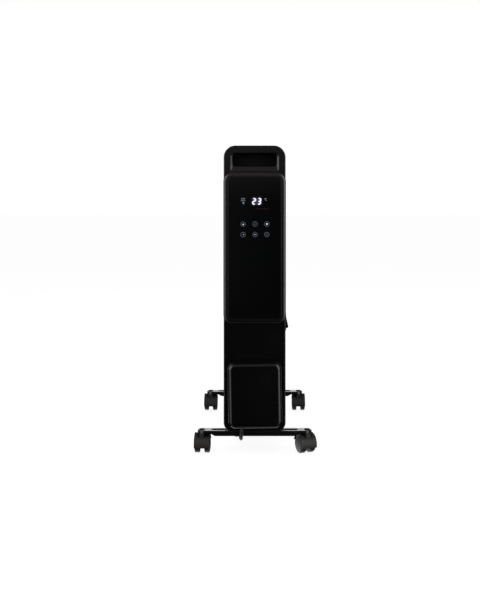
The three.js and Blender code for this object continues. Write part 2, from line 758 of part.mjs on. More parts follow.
function panelTrim() {
  const half = PANEL_WIDTH / 2;
  const section = (y, inset) => ({
    y,
    points: outline(half - inset, PANEL_LOW + inset, PANEL_TOP - inset, PANEL_CORNER - inset, PANEL_CORNER - inset, 5),
  });
  const back = -SEAT;
  const skin = skinned([
    section(PANEL_FRONT, PANEL_SLOPE[0]),
    section(PANEL_FRONT + PANEL_SLOPE[1] * 0.13, PANEL_SLOPE[0] * 0.5),
    section(PANEL_FRONT + PANEL_SLOPE[1] * 0.5, PANEL_SLOPE[0] * 0.13),
    section(PANEL_FRONT + PANEL_SLOPE[1], 0),
    section(back, 0),
  ]);
  const rebate = skinned([section(PANEL_FRONT - 1, PANEL_RIM), section(GLASS_BACK + SEAT, PANEL_RIM)]);
  const opening = skinned([
    section(PANEL_FRONT - 1, PANEL_RIM + PANEL_LEDGE),
    section(back + 1, PANEL_RIM + PANEL_LEDGE),
  ]);
  return cut(skin, rebate, opening);
}

function glassPanel() {
  const inset = PANEL_RIM + SEAT;
  const section = (y, extra) => ({
    y,
    points: outline(
      PANEL_WIDTH / 2 - inset - extra,
      PANEL_LOW + inset + extra,
      PANEL_TOP - inset - extra,
      PANEL_CORNER - inset - extra,
      PANEL_CORNER - inset - extra,
      5,
    ),
  });
  return skinned([section(GLASS_FRONT, 0.8), section(GLASS_FRONT + 0.6, 0), section(GLASS_BACK, 0)]);
}

const BOARD_FRONT = COVER_FACE + 2.2;
const BOARD_SHEET = 1.6;

function displayBoard() {
  const high = PANEL_TOP - 26;
  const low = PANEL_TOP - 164;
  const back = BOARD_FRONT + BOARD_SHEET;
  const pieces = [box(-53, 53, BOARD_FRONT, back, low, high)];
  const front = GLASS_BACK + SEAT;
  const z = COVER_TOP - DIGITS.belowTop;
  pieces.push(
    box(DIGITS.x - DIGITS.width / 2, DIGITS.x + DIGITS.width / 2, front, BOARD_FRONT + 0.5, z - DIGITS.height / 2, z + DIGITS.height / 2),
  );
  for (const drop of KEY_ROWS_BELOW_TOP) {
    for (const x of KEY_COLUMNS) {
      pieces.push(cylinder(KEY_RADIUS, 'y', front, BOARD_FRONT + 0.5, [x, 0, COVER_TOP - drop], 8));
    }
  }
  for (const x of [-49.5, 49.5]) {
    for (const post of [low + 4, high - 4]) {
      pieces.push(cylinder(2.5, 'y', COVER_FACE + SEAT, BOARD_FRONT + 0.5, [x, 0, post], 6));
    }
  }
  pieces.push(box(-20, 8, back - 0.5, back + 6, low + 10, low + 24));
  return join(...pieces);
}

// ---------------------------------------------------------------- parts behind the cover

function powerBoard() {
  const back = CHASSIS_FRONT - 8;
  const front = back - BOARD_SHEET;
  const low = PANEL_LOW + 65;
  const pieces = [box(-46, 46, front, back, low, low + 130)];
  const parts = [
    [-40, -18, 16, low + 88, low + 118],
    [-12, 8, 16, low + 88, low + 118],
    [14, 40, 22, low + 80, low + 112],
    [-40, -8, 12, low + 10, low + 26],
    [20, 40, 10, low + 40, low + 62],
  ];
  for (const [x0, x1, height, z0, z1] of parts) {
    pieces.push(box(x0, x1, front - height, front + 0.5, z0, z1));
  }
  pieces.push(cylinder(8, 'y', front - 20, front + 0.5, [4, 0, low + 50], 14));
  for (const x of [-42, 42]) {
    for (const z of [low + 4, low + 126]) {
      pieces.push(cylinder(3, 'y', back - 0.5, CHASSIS_FRONT - SEAT, [x, 0, z], 8));
    }
  }
  return join(...pieces);
}

const FLANGE_BACK = FIRST_FIN - CHAMBER_THICKNESS / 2 - 5 - 2 * SEAT - 2;
const ELEMENT_LEG = 9;

function elementFlange() {
  const thickness = 5;
  const front = FLANGE_BACK - thickness;
  const plate = cylinder(22, 'y', front, FLANGE_BACK, [0, 0, HEADER_LOW], 6);
  const boss = cylinder(13, 'y', front - 5, front + 0.5, [0, 0, HEADER_LOW], 12);
  const pins = [-1, 1].map((side) => {
    const z = HEADER_LOW + side * ELEMENT_LEG * 0.7;
    return join(
      cylinder(4, 'y', front - 12, front - 4.5, [0, 0, z], 10),
      box(-3.2, 3.2, front - 22, front - 11.5, z - 0.5, z + 0.5),
    );
  });
  return join(plate, boss, ...pins);
}

function elementGasket() {
  const from = FLANGE_BACK + SEAT;
  const profile = [[19, from], [25, from], [25, from + 2], [19, from + 2], [19, from]];
  return turned(profile, 'y', 12, [0, 0, HEADER_LOW]);
}

// A sheathed tube that runs back through the lower headers, turns and comes forward again.
function heatingElement() {
  const start = FLANGE_BACK + SEAT;
  const turn = LAST_FIN - FIN_PITCH / 2 - 6;
  const points = [[0, start, HEADER_LOW - ELEMENT_LEG], [0, (start + turn) / 2, HEADER_LOW - ELEMENT_LEG]];
  for (let i = 0; i <= 6; i += 1) {
    const angle = -Math.PI / 2 + (Math.PI * i) / 6;
    points.push([0, turn + ELEMENT_LEG * Math.cos(angle), HEADER_LOW + ELEMENT_LEG * Math.sin(angle)]);
  }
  points.push([0, (start + turn) / 2, HEADER_LOW + ELEMENT_LEG], [0, start, HEADER_LOW + ELEMENT_LEG]);
  return bar(points, 4.2, 22, 6);
}

function thermalCutout() {
  const back = CHASSIS_FRONT - SEAT;
  const z = HEADER_LOW + 56;
  return turned(
    [[0, back], [12, back], [12, back - 1.6], [8.5, back - 1.6], [8.5, back - 9], [5, back - 10.5], [0, back - 10.5]],
    'y',
    16,
    [-34, 0, z],
  );
}

function tiltSwitch() {
  const back = CHASSIS_FRONT - SEAT;
  const z = HEADER_LOW + 40;
  return join(box(26, 46, back - 16, back, z, z + 30), box(22, 50, back - 2, back, z + 6, z + 24));
}

function terminalBlock() {
  const low = SHELF_LOW + CHASSIS_SHEET + SEAT;
  let block = box(-26, 26, 36, 54, low, low + 14);
  for (const x of [-17, 0, 17]) {
    block = cut(block, cylinder(3, 'z', low + 8, low + 16, [x, 45, 0], 8));
  }
  return block;
}

function roomSensor() {
  const wall = -COVER_SIDE + COVER_WALL + SEAT;
  const z = COVER_LOW + 112;
  return join(box(wall, wall + 3, 28, 44, z, z + 26), box(wall + 2.5, wall + 9, 31, 41, z + 3, z + 16));
}

// ---------------------------------------------------------------- rocker switch

function switchReach() {
  const lift = ROCKER_HALF * Math.tan(ROCKER_TILT * DEG);
  return Math.hypot(ROCKER_PIVOT_INSET + 1.4 + lift, ROCKER_HALF);
}

const PIVOT_X = COVER_SIDE - ROCKER_PIVOT_INSET;

// Its two halves meet at an angle, so one always stands proud of the bezel.
function switchRocker() {
  const face = ROCKER_PIVOT_INSET + 1.4;
  const lift = ROCKER_HALF * Math.tan(ROCKER_TILT * DEG);
  const reach = switchReach();
  const tip = Math.atan2(ROCKER_HALF, face + lift);
  const shape = new THREE.Shape();
  shape.moveTo(face, 0);
  shape.absarc(0, 0, reach, tip, 100 * DEG);
  shape.absarc(0, 0, reach, -100 * DEG, -tip);
  const body = slab(shape, 'xz', -ROCKER_WIDTH / 2, ROCKER_WIDTH / 2, 3);
  const pins = cylinder(1.5, 'y', -ROCKER_WIDTH / 2 - 1.4, ROCKER_WIDTH / 2 + 1.4, [0, 0, 0], 10);
  return join(body, pins).rotate([0, -ROCKER_TILT, 0]).translate(PIVOT_X, SWITCH_DEPTH, SWITCH_HEIGHT);
}

function switchHousing() {
  const well = ROCKER_WIDTH / 2 + SEAT;
  const wellTall = switchReach() + 0.4;
  const wall = BEZEL_RIM - 0.4 - SEAT;
  const tall = wellTall + 1.4;
  const bezelShape = roundedRect(
    SWITCH_DEPTH - well - BEZEL_RIM,
    SWITCH_HEIGHT - wellTall - 3.6,
    SWITCH_DEPTH + well + BEZEL_RIM,
    SWITCH_HEIGHT + wellTall + 3.6,
    2.5,
  );
  const bezel = slab(bezelShape, 'yz', COVER_SIDE + SEAT, COVER_SIDE + BEZEL_PROUD, 1);
  const body = box(
    COVER_SIDE - 24,
    COVER_SIDE + SEAT + 0.5,
    SWITCH_DEPTH - well - wall,
    SWITCH_DEPTH + well + wall,
    SWITCH_HEIGHT - tall,
    SWITCH_HEIGHT + tall,
  );
  const cavity = box(
    COVER_SIDE - 16,
    COVER_SIDE + 5,
    SWITCH_DEPTH - well,
    SWITCH_DEPTH + well,
    SWITCH_HEIGHT - wellTall,
    SWITCH_HEIGHT + wellTall,
  );
  const pivot = [PIVOT_X, 0, SWITCH_HEIGHT];
  const bearing = cylinder(1.8, 'y', SWITCH_DEPTH - well - 1.6, SWITCH_DEPTH + well + 1.6, pivot, 10);
  const tags = [-9, 0, 9].map((dz) => box(
    COVER_SIDE - 32,
    COVER_SIDE - 23.5,
    SWITCH_DEPTH - 3.1,
    SWITCH_DEPTH + 3.1,
    SWITCH_HEIGHT + dz - 0.4,
    SWITCH_HEIGHT + dz + 0.4,
  ));
  return join(cut(join(bezel, body), cavity, bearing), ...tags);
}

// ---------------------------------------------------------------- cord winder

function winderHub() {
  const section = (y, extra) => ({
    y,
    points: outline(HUB_WIDTH / 2 + extra, HUB_LOW - extra, HUB_LOW + HUB_HEIGHT + extra, HUB_CORNER, HUB_CORNER, 4),
  });
  return skinned([section(WINDER_BACK + SEAT, 0), section(-3, 0), section(-SEAT, 2)]);
}

function winderPlate() {
  const section = (y, inset) => ({
    y,
    points: outline(
      WINDER_WIDTH / 2 - inset,
      -WINDER_HEIGHT / 2 + inset,
      WINDER_HEIGHT / 2 - inset,
      WINDER_CORNER - inset,
      WINDER_CORNER - inset,
      5,
    ),
  });
  const skin = skinned([
    section(WINDER_FRONT, WINDER_ROUNDING),
    section(WINDER_FRONT + WINDER_ROUNDING * 0.13, WINDER_ROUNDING * 0.5),
    section(WINDER_FRONT + WINDER_ROUNDING * 0.5, WINDER_ROUNDING * 0.13),
    section(WINDER_FRONT + WINDER_ROUNDING, 0),
    section(WINDER_BACK, 0),
  ]);
  const plate = skin.rotate([0, -WINDER_SKEW, 0]);
  return plate.translate(WINDER_OFFSET, 0, WINDER_LOW + WINDER_HEIGHT / 2);
}

function cordGland() {
  const [x, y] = LEAD_ROUTE[0];
  const top = HUB_LOW - SEAT;
  const tip = LEAD_ROUTE[0][2] + SEAT;
  return turned(
    [[0, tip], [CORD_DIAMETER / 2 + 0.9, tip], [6, top - 4], [8, top - 4], [8, top], [0, top]],
    'z',
    14,
    [x, y, 0],
  );
}

// ---------------------------------------------------------------- mains lead

function mainsLead() {
  return bar(LEAD_ROUTE, CORD_DIAMETER / 2, 24, 8);
}

function leadCoil() {
  const half = CORD_DIAMETER / 2;
  const inner = COIL_INNER - half;
  const outer = COIL_OUTER + half;
  const top = COIL_LAYERS * CORD_DIAMETER + 0.1;
  const soft = 2.5;
  const profile = [
    [inner, 0.1],
    [outer - soft, 0.1],
    [outer, 0.1 + soft],
    [outer, top - soft],
    [outer - soft, top],
    [inner, top],
    [inner, 0.1],
  ];
  return turned(profile, 'z', 24, [...COIL_CENTRE, 0]);
}

// A moulded two-pin plug with earth contacts, lying on its side.
function plug() {
  const x = COIL_CENTRE[0] - COIL_OUTER;
  const y = PLUG_START;
  const shell = turned(
    [
      [0, 0],
      [4.6, 0],
      [5.6, 22],
      [13, 27],
      [18.6, 36],
      [19.1, 46],
      [19.1, 58],
      [17.6, 60],
      [0, 60],
    ].map(([radius, along]) => [radius, y + along]),
    'y',
    16,
    [x, 0, PLUG_AXIS_HEIGHT],
  );
  const pins = [-9.5, 9.5].map((dz) => turned(
    [[0, y + 59], [2.4, y + 59], [2.4, y + 77.5], [1.4, y + 79], [0, y + 79]],
    'y',
    8,
    [x, 0, PLUG_AXIS_HEIGHT + dz],
  ));
  const notches = [-1, 1].map((side) => box(
    x + side * 19 - 2,
    x + side * 19 + 2,
    y + 42,
    y + 62,
    PLUG_AXIS_HEIGHT - 2.5,
    PLUG_AXIS_HEIGHT + 2.5,
  ));
  return join(cut(shell, ...notches), ...pins);
}

// ---------------------------------------------------------------- assembly

const heater = new THREE.Group();
heater.position.y = -MIDDLE;

for (let number = 0; number < FIN_COUNT; number += 1) {
  heater.add(named(`fin_${number + 1}`, fin(number), blackPaint));
}

heater.add(named('front_foot', footRail(FRONT_FOOT, FRONT_BOLT_SPREAD), blackPaint));
heater.add(named('rear_foot', footRail(REAR_FOOT, U_BOLT_SPREAD), blackPaint));
heater.add(named('rear_u_bolt', uBolt(), zincSteel));
for (const [name, side] of [['left', -1], ['right', 1]]) {
  const front = side * FRONT_BOLT_SPREAD;
  heater.add(named(`front_foot_bolt_${name}`, carriageBolt(front, FRONT_FOOT), zincSteel));
  heater.add(named(`front_wing_nut_${name}`, wingNut(front, FRONT_FOOT), zincSteel));
  heater.add(named(`rear_wing_nut_${name}`, wingNut(side * U_BOLT_SPREAD, REAR_FOOT), zincSteel));
}

for (const { name, side, rail, turn } of CASTORS) {
  const castor = new THREE.Group();
  castor.position.set(side * CASTOR_SPREAD, rail === 'front' ? FRONT_FOOT : REAR_FOOT, 0);
  castor.rotation.z = turn * DEG;
  castor.add(named(`castor_stem_${name}`, castorStem(), zincSteel));
  castor.add(named(`castor_hood_${name}`, castorHood(), mattePlastic));
  castor.add(named(`castor_axle_${name}`, castorAxle(), zincSteel));
  castor.add(named(`wheel_${name}_a`, castorWheel(-1), wheelPlastic));
  castor.add(named(`wheel_${name}_b`, castorWheel(1), wheelPlastic));
  heater.add(castor);
}

heater.add(named('front_cover', frontCover(), satinPlastic));
heater.add(named('chassis_plate', chassisPlate(), zincSteel));
heater.add(named('heat_shield', heatShield(), aluminium));
heater.add(named('panel_trim', panelTrim(), trimPlastic));
heater.add(named('glass_panel', glassPanel(), blackGlass));
heater.add(named('display_board', displayBoard(), circuitBoard));
heater.add(named('power_board', powerBoard(), circuitBoard));
heater.add(named('element_flange', elementFlange(), brass));
heater.add(named('element_gasket', elementGasket(), cordRubber));
heater.add(named('heating_element', heatingElement(), zincSteel));
heater.add(named('thermal_cutout', thermalCutout(), insulator));
heater.add(named('tilt_switch', tiltSwitch(), satinPlastic));
heater.add(named('terminal_block', terminalBlock(), insulator));
heater.add(named('room_sensor', roomSensor(), insulator));
heater.add(named('switch_housing', switchHousing(), satinPlastic));
heater.add(named('switch_rocker', switchRocker(), satinPlastic));
heater.add(named('winder_hub', winderHub(), satinPlastic));
heater.add(named('winder_plate', winderPlate(), satinPlastic));
heater.add(named('cord_gland', cordGland(), cordRubber));
heater.add(named('mains_lead', mainsLead(), cordRubber));
heater.add(named('lead_coil', leadCoil(), cordRubber));
heater.add(named('plug', plug(), cordRubber));

export default heater;
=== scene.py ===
# %% [markdown]
# # An oil filled radiator heater
#
# The heater is a row of pressed steel fins full of oil, with a tall moulded cover in front that
# holds a touch panel, a handle pocket, a rocker switch and a cord winder. Two steel rails carry it
# on four twin-wheel castors. The CAD model says where every solid is. This script dresses it:
# it keeps the CAD nodes whose shape is right, and builds finer pieces in the place of the others.
#
# The scene is in metres, Z is up, and the cover looks towards -Y. The sizes of pieces are written
# in millimetres, because that is how a drawing of such a thing gives them.

import json
import math

import bmesh
import bpy
import numpy as np
from mathutils import Matrix, Vector


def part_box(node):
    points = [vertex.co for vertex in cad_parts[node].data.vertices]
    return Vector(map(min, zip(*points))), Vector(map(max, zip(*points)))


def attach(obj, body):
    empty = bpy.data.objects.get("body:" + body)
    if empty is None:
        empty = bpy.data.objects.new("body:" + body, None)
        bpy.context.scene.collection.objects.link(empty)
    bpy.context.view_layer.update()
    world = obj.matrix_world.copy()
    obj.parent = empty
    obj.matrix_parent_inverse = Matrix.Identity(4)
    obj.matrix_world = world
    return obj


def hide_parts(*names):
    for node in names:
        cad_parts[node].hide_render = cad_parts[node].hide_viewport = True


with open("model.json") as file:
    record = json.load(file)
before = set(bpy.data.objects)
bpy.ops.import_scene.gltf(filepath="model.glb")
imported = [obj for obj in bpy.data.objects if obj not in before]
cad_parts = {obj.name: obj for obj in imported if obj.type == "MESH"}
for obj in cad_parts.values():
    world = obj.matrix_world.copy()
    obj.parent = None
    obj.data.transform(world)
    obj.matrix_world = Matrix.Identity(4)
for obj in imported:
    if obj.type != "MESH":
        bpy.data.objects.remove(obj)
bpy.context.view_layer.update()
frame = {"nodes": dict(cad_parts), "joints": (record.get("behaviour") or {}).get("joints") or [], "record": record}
scene = bpy.context.scene
carrier = {n: body for body, nodes in frame["record"]["behaviour"]["bodies"].items() for n in nodes}
joints = {joint["name"]: joint for joint in frame["joints"]}
CORNERS = ("front_left", "front_right", "rear_left", "rear_right")
SQUARE = ((-1, -1), (1, -1), (1, 1), (-1, 1))
SIDES = {"left": -1, "right": 1}

# %% Places in millimetres
MM = 0.001
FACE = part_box("front_cover")[0].y  # depth of the cover's front face


def mm(x, y, z):
    """A point given in millimetres."""
    return Vector((x * MM, y * MM, z * MM))


def at(x, depth, height):
    """A point given in millimetres across, behind the cover's face and above the floor."""
    return Vector((x * MM, FACE + depth * MM, height * MM))


def reading(point):
    """The reverse of at()."""
    return point.x / MM, (point.y - FACE) / MM, point.z / MM


def reach(node):
    """The low and high corners of a CAD node, as at() takes them."""
    return [reading(corner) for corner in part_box(node)]


def centre(node):
    return [(low + high) / 2 for low, high in zip(*reach(node))]


print("the cover reaches from", *[[round(v, 1) for v in corner] for corner in reach("front_cover")])

# %% [markdown]
# ## Camera
#
# The heater is seen square on from about two metres, from a little below the height of its top. The
# lens is shifted instead of tilted: the heater comes near the middle of the frame, a little to the
# right, and its upright edges stay upright.

# %% Camera
CAMERA_AWAY, CAMERA_HEIGHT = 2.18, 0.556
camera = bpy.data.objects.new("camera", bpy.data.cameras.new("camera"))
scene.collection.objects.link(camera)
camera.location = (0, FACE - CAMERA_AWAY, CAMERA_HEIGHT)
camera.rotation_euler = (math.radians(90), 0, 0)
camera.data.lens, camera.data.sensor_width = 59.8, 36
camera.data.shift_x, camera.data.shift_y = -0.0241, -0.174
scene.camera = camera
scene.view_settings.view_transform = "Standard"
print("camera", tuple(round(v, 3) for v in camera.location), "lens", camera.data.lens)

# %% [markdown]
# ## Shader sums written as sums
#
# A node tree is easier to read as an expression. `Value` wraps one socket and lets it be added,
# subtracted, multiplied and divided like a number, and each operator adds one Math node. `Sheet`
# wraps a tree and makes every other kind of node with one method.


# %% Value and Sheet
class Value:
    """A socket that takes part in sums, such as 1 - mask or grain * 0.2."""

    def __init__(self, sheet, socket):
        self.sheet, self.socket = sheet, socket

    def maths(self, operation, *others):
        terms = dict(enumerate((self, *others)))
        return self.sheet.add("ShaderNodeMath", terms, operation=operation)

    def out(self, name):
        return Value(self.sheet, self.socket.node.outputs[name])

    def __add__(self, other):
        return self.maths("ADD", other)

    def __mul__(self, other):
        return self.maths("MULTIPLY", other)

    def __sub__(self, other):
        return self.maths("SUBTRACT", other)

    def __rsub__(self, other):
        return self.sheet.add("ShaderNodeMath", {0: other, 1: self}, operation="SUBTRACT")

    def __truediv__(self, other):
        return self.maths("DIVIDE", other)

    __radd__, __rmul__ = __add__, __mul__


class Sheet:
    """A node tree that is filled by calling add() once for each node."""

    def __init__(self, tree):
        self.tree = tree

    def add(self, kind, sockets=None, output=0, **settings):
        node = self.tree.nodes.new(kind)
        for name, value in settings.items():
            setattr(node, name, value)
        for name, value in (sockets or {}).items():
            if isinstance(value, Value):
                self.tree.links.new(value.socket, node.inputs[name])
            else:
                node.inputs[name].default_value = value
        return Value(self, node.outputs[output]) if len(node.outputs) else None

    def smooth(self, value, low, high):
        """0 below low, 1 above high, and a soft step between."""
        ends = {"Value": value, "From Min": low, "From Max": high}
        return self.add("ShaderNodeMapRange", ends, interpolation_type="SMOOTHSTEP")

    def noise(self, place, scale, detail, roughness=0.5):
        sockets = {"Vector": place, "Scale": scale, "Detail": detail, "Roughness": roughness}
        return self.add("ShaderNodeTexNoise", sockets)

    def mix(self, amount, first, second):
        """A colour between two colours."""
        return self.add("ShaderNodeMix", {0: amount, 6: first, 7: second}, output=2, data_type="RGBA")

    def principled(self, sockets):
        """Ends a material's tree with a Principled shader."""
        shader = self.add("ShaderNodeBsdfPrincipled", sockets)
        self.add("ShaderNodeOutputMaterial", {"Surface": shader})


def shade(red, green=None, blue=None):
    """A colour from 0-255 screen values, as the linear numbers that nodes take."""
    screen = (red, red if green is None else green, red if blue is None else blue)
    linear = [(v / 255 / 12.92) if v <= 10 else ((v / 255 + 0.055) / 1.055) ** 2.4 for v in screen]
    return (*linear, 1.0)


print("a mid grey of 118 is", round(shade(118)[0], 3), "in linear numbers")

# %% [markdown]
# ## Floor, room and lamps
#
# A product like this is lit in a white room whose front is dark, where the camera stands. That is
# what makes black plastic look black face on and bright along its edges: the edges mirror the
# white behind the heater and the tall strips beside it. The world says so by direction, for glossy
# rays only. Rays from the camera see plain white, and diffuse light stays at a plain level, so
# that colours come out as they are written. The floor shows to the camera and catches a shadow,
# but gloss does not see it, because it would cut the mirrored strips off at the horizon.

# %% The room
world = bpy.data.worlds.new("room")
world.use_nodes = True
scene.world = world
world.node_tree.nodes.clear()
room = Sheet(world.node_tree)
ray = room.add("ShaderNodeLightPath", output="Is Camera Ray")
mirror = ray.out("Is Glossy Ray")
heading = room.add("ShaderNodeSeparateXYZ", {0: room.add("ShaderNodeTexCoord", output="Generated")})
ahead, across, up = heading.out("Y"), heading.out("X"), heading.out("Z")


def fade(value, full, end):
    """1 below full, and 0 above end."""
    return 1 - room.smooth(value, full, end)


def band(value, low, full, full_end, end):
    """0 below low, 1 from full to full_end, and 0 again above end."""
    return room.smooth(value, low, full) * fade(value, full_end, end)


# The strips stand beside and behind the heater. Each is a part of the directions and a strength.
beside = band(ahead, -0.985, -0.84, -0.5, -0.2) * fade(up.maths("ABSOLUTE"), 0.55, 0.85)
beside = beside * (0.35 + 0.65 * room.smooth(up, -0.42, -0.03))
beside_left = beside * fade(across, -0.5, -0.35) * 2.4
beside_right = beside * room.smooth(across, 0.35, 0.5) * 3.0
by_height = 0.1 + 0.95 * fade(up, -0.24, -0.222) + 0.4 * room.smooth(up, -0.17, -0.1)
behind_left = band(ahead, 0.3, 0.5, 0.75, 0.88) * fade(across, -0.3, 0.0) * by_height
behind_right = band(ahead, 0.48, 0.6, 0.72, 0.85) * room.smooth(across, 0.0, 0.3) * 0.3
high_left = band(ahead, -0.65, -0.5, -0.35, -0.15) * fade(across, -0.8, -0.6)
high_left = high_left * room.smooth(up, 0.0, 0.03) * 2.6
strips = beside_left + beside_right + behind_left + behind_right + high_left
# The rest are broad and soft: the wall and floor behind, a faint light in front on the left, the
# ceiling in front, and the floor below.
backdrop = room.smooth(ahead, 0.9, 0.96) * room.smooth(up, 0.0, 0.12) * 1.7
low_back = room.smooth(ahead, 0.95, 0.985) * fade(up, 0.0, 0.1) * 0.5
low_behind = band(ahead, 0.35, 0.6, 0.8, 0.9) * fade(up, -0.5, -0.22) * 0.9
face_left = fade(ahead, -0.92, -0.8) * fade(across, -0.12, 0.06) * room.smooth(up, -0.16, -0.06)
above_front = band(up, -0.01, 0.1, 0.75, 0.92) * fade(ahead, -0.4, 0.0) * 0.4
below = fade(up, -0.95, -0.75) * 0.25
seen_in_gloss = 0.01 + face_left * 0.08 + strips + backdrop + low_back + above_front + below + low_behind
ROOM_LIGHT = 0.46
level = ray + (1 - ray) * (mirror * seen_in_gloss + (1 - mirror) * ROOM_LIGHT)
surround = room.add("ShaderNodeBackground", {"Color": shade(255), "Strength": level})
room.add("ShaderNodeOutputWorld", {"Surface": surround})
print("room light", ROOM_LIGHT, "from", len(world.node_tree.nodes), "nodes")


# %% The floor
def new_material(name, slot=None):
    material = bpy.data.materials.new(name)
    material.use_nodes = True
    material.node_tree.nodes.clear()
    if slot:
        material["slot"] = slot
    sheet = Sheet(material.node_tree)
    return material, sheet, sheet.add("ShaderNodeTexCoord", output="Object")


FLOOR_REACH, FLOOR_GLOW, GLOW_SHARE = 30, 2.3, 0.4
floor_white, sheet, place = new_material("floor_white")
ray = sheet.add("ShaderNodeLightPath", output="Is Camera Ray")
matt = sheet.add("ShaderNodeBsdfDiffuse", {"Color": shade(130)})
plain = sheet.add("ShaderNodeEmission", {"Strength": FLOOR_GLOW})
shown = sheet.add("ShaderNodeMixShader", {0: ray * GLOW_SHARE, 1: matt, 2: plain})
sheet.add("ShaderNodeOutputMaterial", {"Surface": shown})
floor_mesh = bpy.data.meshes.new("floor")
floor_mesh.from_pydata([(x * FLOOR_REACH, y * FLOOR_REACH, 0) for x, y in SQUARE], [], [(0, 1, 2, 3)])
floor_mesh.materials.append(floor_white)
floor = bpy.data.objects.new("floor", floor_mesh)
scene.collection.objects.link(floor)
floor.visible_glossy = False
print("floor", 2 * FLOOR_REACH, "m wide")


# %% The lamps
def softbox(name, place, aim, size, watts):
    lamp = bpy.data.lights.new(name, "AREA")
    lamp.shape, lamp.energy = "RECTANGLE", watts
    lamp.size = lamp.size_y = size
    holder = bpy.data.objects.new(name, lamp)
    scene.collection.objects.link(holder)
    holder.location = place
    holder.visible_glossy = False
    holder.rotation_euler = (Vector(aim) - Vector(place)).to_track_quat("-Z", "Y").to_euler()


softbox("key", (-1.5, -2.3, 2.5), (0, 0, 0.4), 1.4, 42)
softbox("fill", (2.2, -1.9, 1.3), (0, 0, 0.4), 1.2, 20)
softbox("overhead", (0.2, 0.5, 2.9), (0, 0, 0.3), 1.6, 30)
softbox("back", (-0.6, 2.6, 1.8), (0, 0, 0.4), 1.2, 22)

# %% [markdown]
# ## Surfaces
#
# The heater has few finishes and most of them are black, so what tells them apart is gloss and
# texture. Each material starts from one plain colour, lets a broad noise shift it slightly, as a
# moulding or a powder coat does, and puts the fine grain into the bump and the roughness.


# %% One recipe for plain finishes
def finish(
    name, colour, rough, slot=None, metal=0.0, shift=0.12, drift=9.0, grain=1500.0, depth=0.04, specular=0.5
):
    """A finish with a broad drift of tone, and a fine grain whose depth is in millimetres."""
    material, sheet, place = new_material(name, slot or name)
    broad = sheet.noise(place, drift, 3.0)
    fine = sheet.noise(place, grain, 1.0)
    light = (*(min(v * (1 + shift) + 0.0006, 1) for v in colour[:3]), 1.0)
    bump = {"Strength": 0.6, "Distance": depth * MM, "Height": fine}
    sheet.principled({
        "Base Color": sheet.mix(sheet.smooth(broad, 0.3, 0.7), colour, light),
        "Roughness": rough + (broad - 0.5) * 0.08 + (fine - 0.5) * 0.06,
        "Metallic": metal, "Specular IOR Level": specular, "Normal": sheet.add("ShaderNodeBump", bump),
    })
    return material


satin_plastic = finish("satin_plastic", shade(4), 0.21, grain=1900, depth=0.02, specular=0.38)
# The inside of the handle pocket is the cover's own plastic, darker and duller: painted shade in the recess.
pocket_painted_shade = finish("pocket_painted_shade", shade(3), 0.6, "satin_plastic", specular=0.1)
inner_plastic = finish("inner_plastic", shade(11), 0.5, "satin_plastic")
matte_plastic = finish("matte_plastic", shade(36, 35, 34), 0.5, grain=1300, depth=0.05, specular=0.25)
wheel_plastic = finish("wheel_plastic", shade(32, 30, 30), 0.3, grain=900, depth=0.05)
trim_plastic = finish("trim_plastic", shade(11, 9, 9), 0.22, grain=900, depth=0.01)
# The frame's slope has a warm tint of its own, and a colour far lighter than the frame's, which is a painted
# highlight.
trim_tint_and_highlight = finish("trim_tint_and_highlight", shade(44, 31, 33), 0.22, "trim_plastic", grain=900, depth=0.01)
fin_paint = finish("fin_paint", shade(16, 16, 17), 0.3, "black_paint", grain=420, depth=0.12)
rail_paint = finish("rail_paint", shade(7, 7, 8), 0.24, "black_paint", grain=260, specular=0.6)
cord_rubber = finish("cord_rubber", shade(24, 24, 25), 0.5, "rubber", grain=700, depth=0.08)
zinc_steel = finish(
    "zinc_steel", shade(190, 193, 198), 0.32, metal=1.0, shift=0.1, drift=160, grain=2400, depth=0.02
)
brass = finish("brass", shade(196, 160, 92), 0.3, metal=1.0, drift=60)
aluminium = finish("aluminium_sheet", shade(205, 207, 209), 0.34, metal=1.0, drift=40)
board_green = finish("circuit_board", shade(38, 78, 52), 0.4, drift=120, grain=600)
insulator = finish("insulator", shade(222, 216, 204), 0.5, drift=50)
print("finishes", len(bpy.data.materials))

# %% [markdown]
# ## Tools for solid pieces
#
# Most pieces here are mouldings or pressings: an outline that changes a little as it goes back.
# They are made as rings of points joined by quads. Holes are cut by a Boolean modifier, sharp
# edges are rounded by a Bevel modifier, and a Weighted Normal modifier keeps the flat faces flat
# in the light. Each piece is then turned into one plain mesh.


# %% Outlines
def arc(x, y, radius, start, end, steps):
    """Points round (x, y) from one angle in degrees to another, both included."""
    turns = [math.radians(start + (end - start) * i / steps) for i in range(steps + 1)]
    return [(x + radius * math.cos(a), y + radius * math.sin(a)) for a in turns]


def circle(radius, sides):
    return arc(0, 0, radius, 0, 360, sides)[:-1]


def rounded_edge(radius, steps=6):
    """(depth, inset) pairs of a quarter round that starts at the front face."""
    return arc(radius, radius, radius, 180, 270, steps)


def outline(half, low, high, low_radius, high_radius, steps=12):
    """An upright rounded rectangle as (across, up) points."""
    corners = [
        (half - low_radius, low + low_radius, low_radius, -90),
        (half - high_radius, high - high_radius, high_radius, 0),
        (high_radius - half, high - high_radius, high_radius, 90),
        (low_radius - half, low + low_radius, low_radius, 180),
    ]
    return [p for *corner, start in corners for p in arc(*corner, start, start + 90, steps)]


def stadium(half_length, half_width):
    """A strip with round ends, as points seen from above."""
    reach = half_length - half_width
    return arc(reach, 0, half_width, -90, 90, 16) + arc(-reach, 0, half_width, 90, 270, 16)


def eased(value, reach):
    """0 below 0, 1 above reach, and a soft step between, for a number or an array."""
    t = np.clip(value / reach, 0, 1)
    return t * t * (3 - 2 * t)


print("an outline has", len(outline(10, 0, 20, 2, 2)), "points")


# %% Shapes
def bridge(shape, first, second):
    """Joins two closed rows of vertices with quads."""
    for i in range(len(first)):
        j = (i + 1) % len(first)
        shape.faces.new((first[i], first[j], second[j], second[i]))


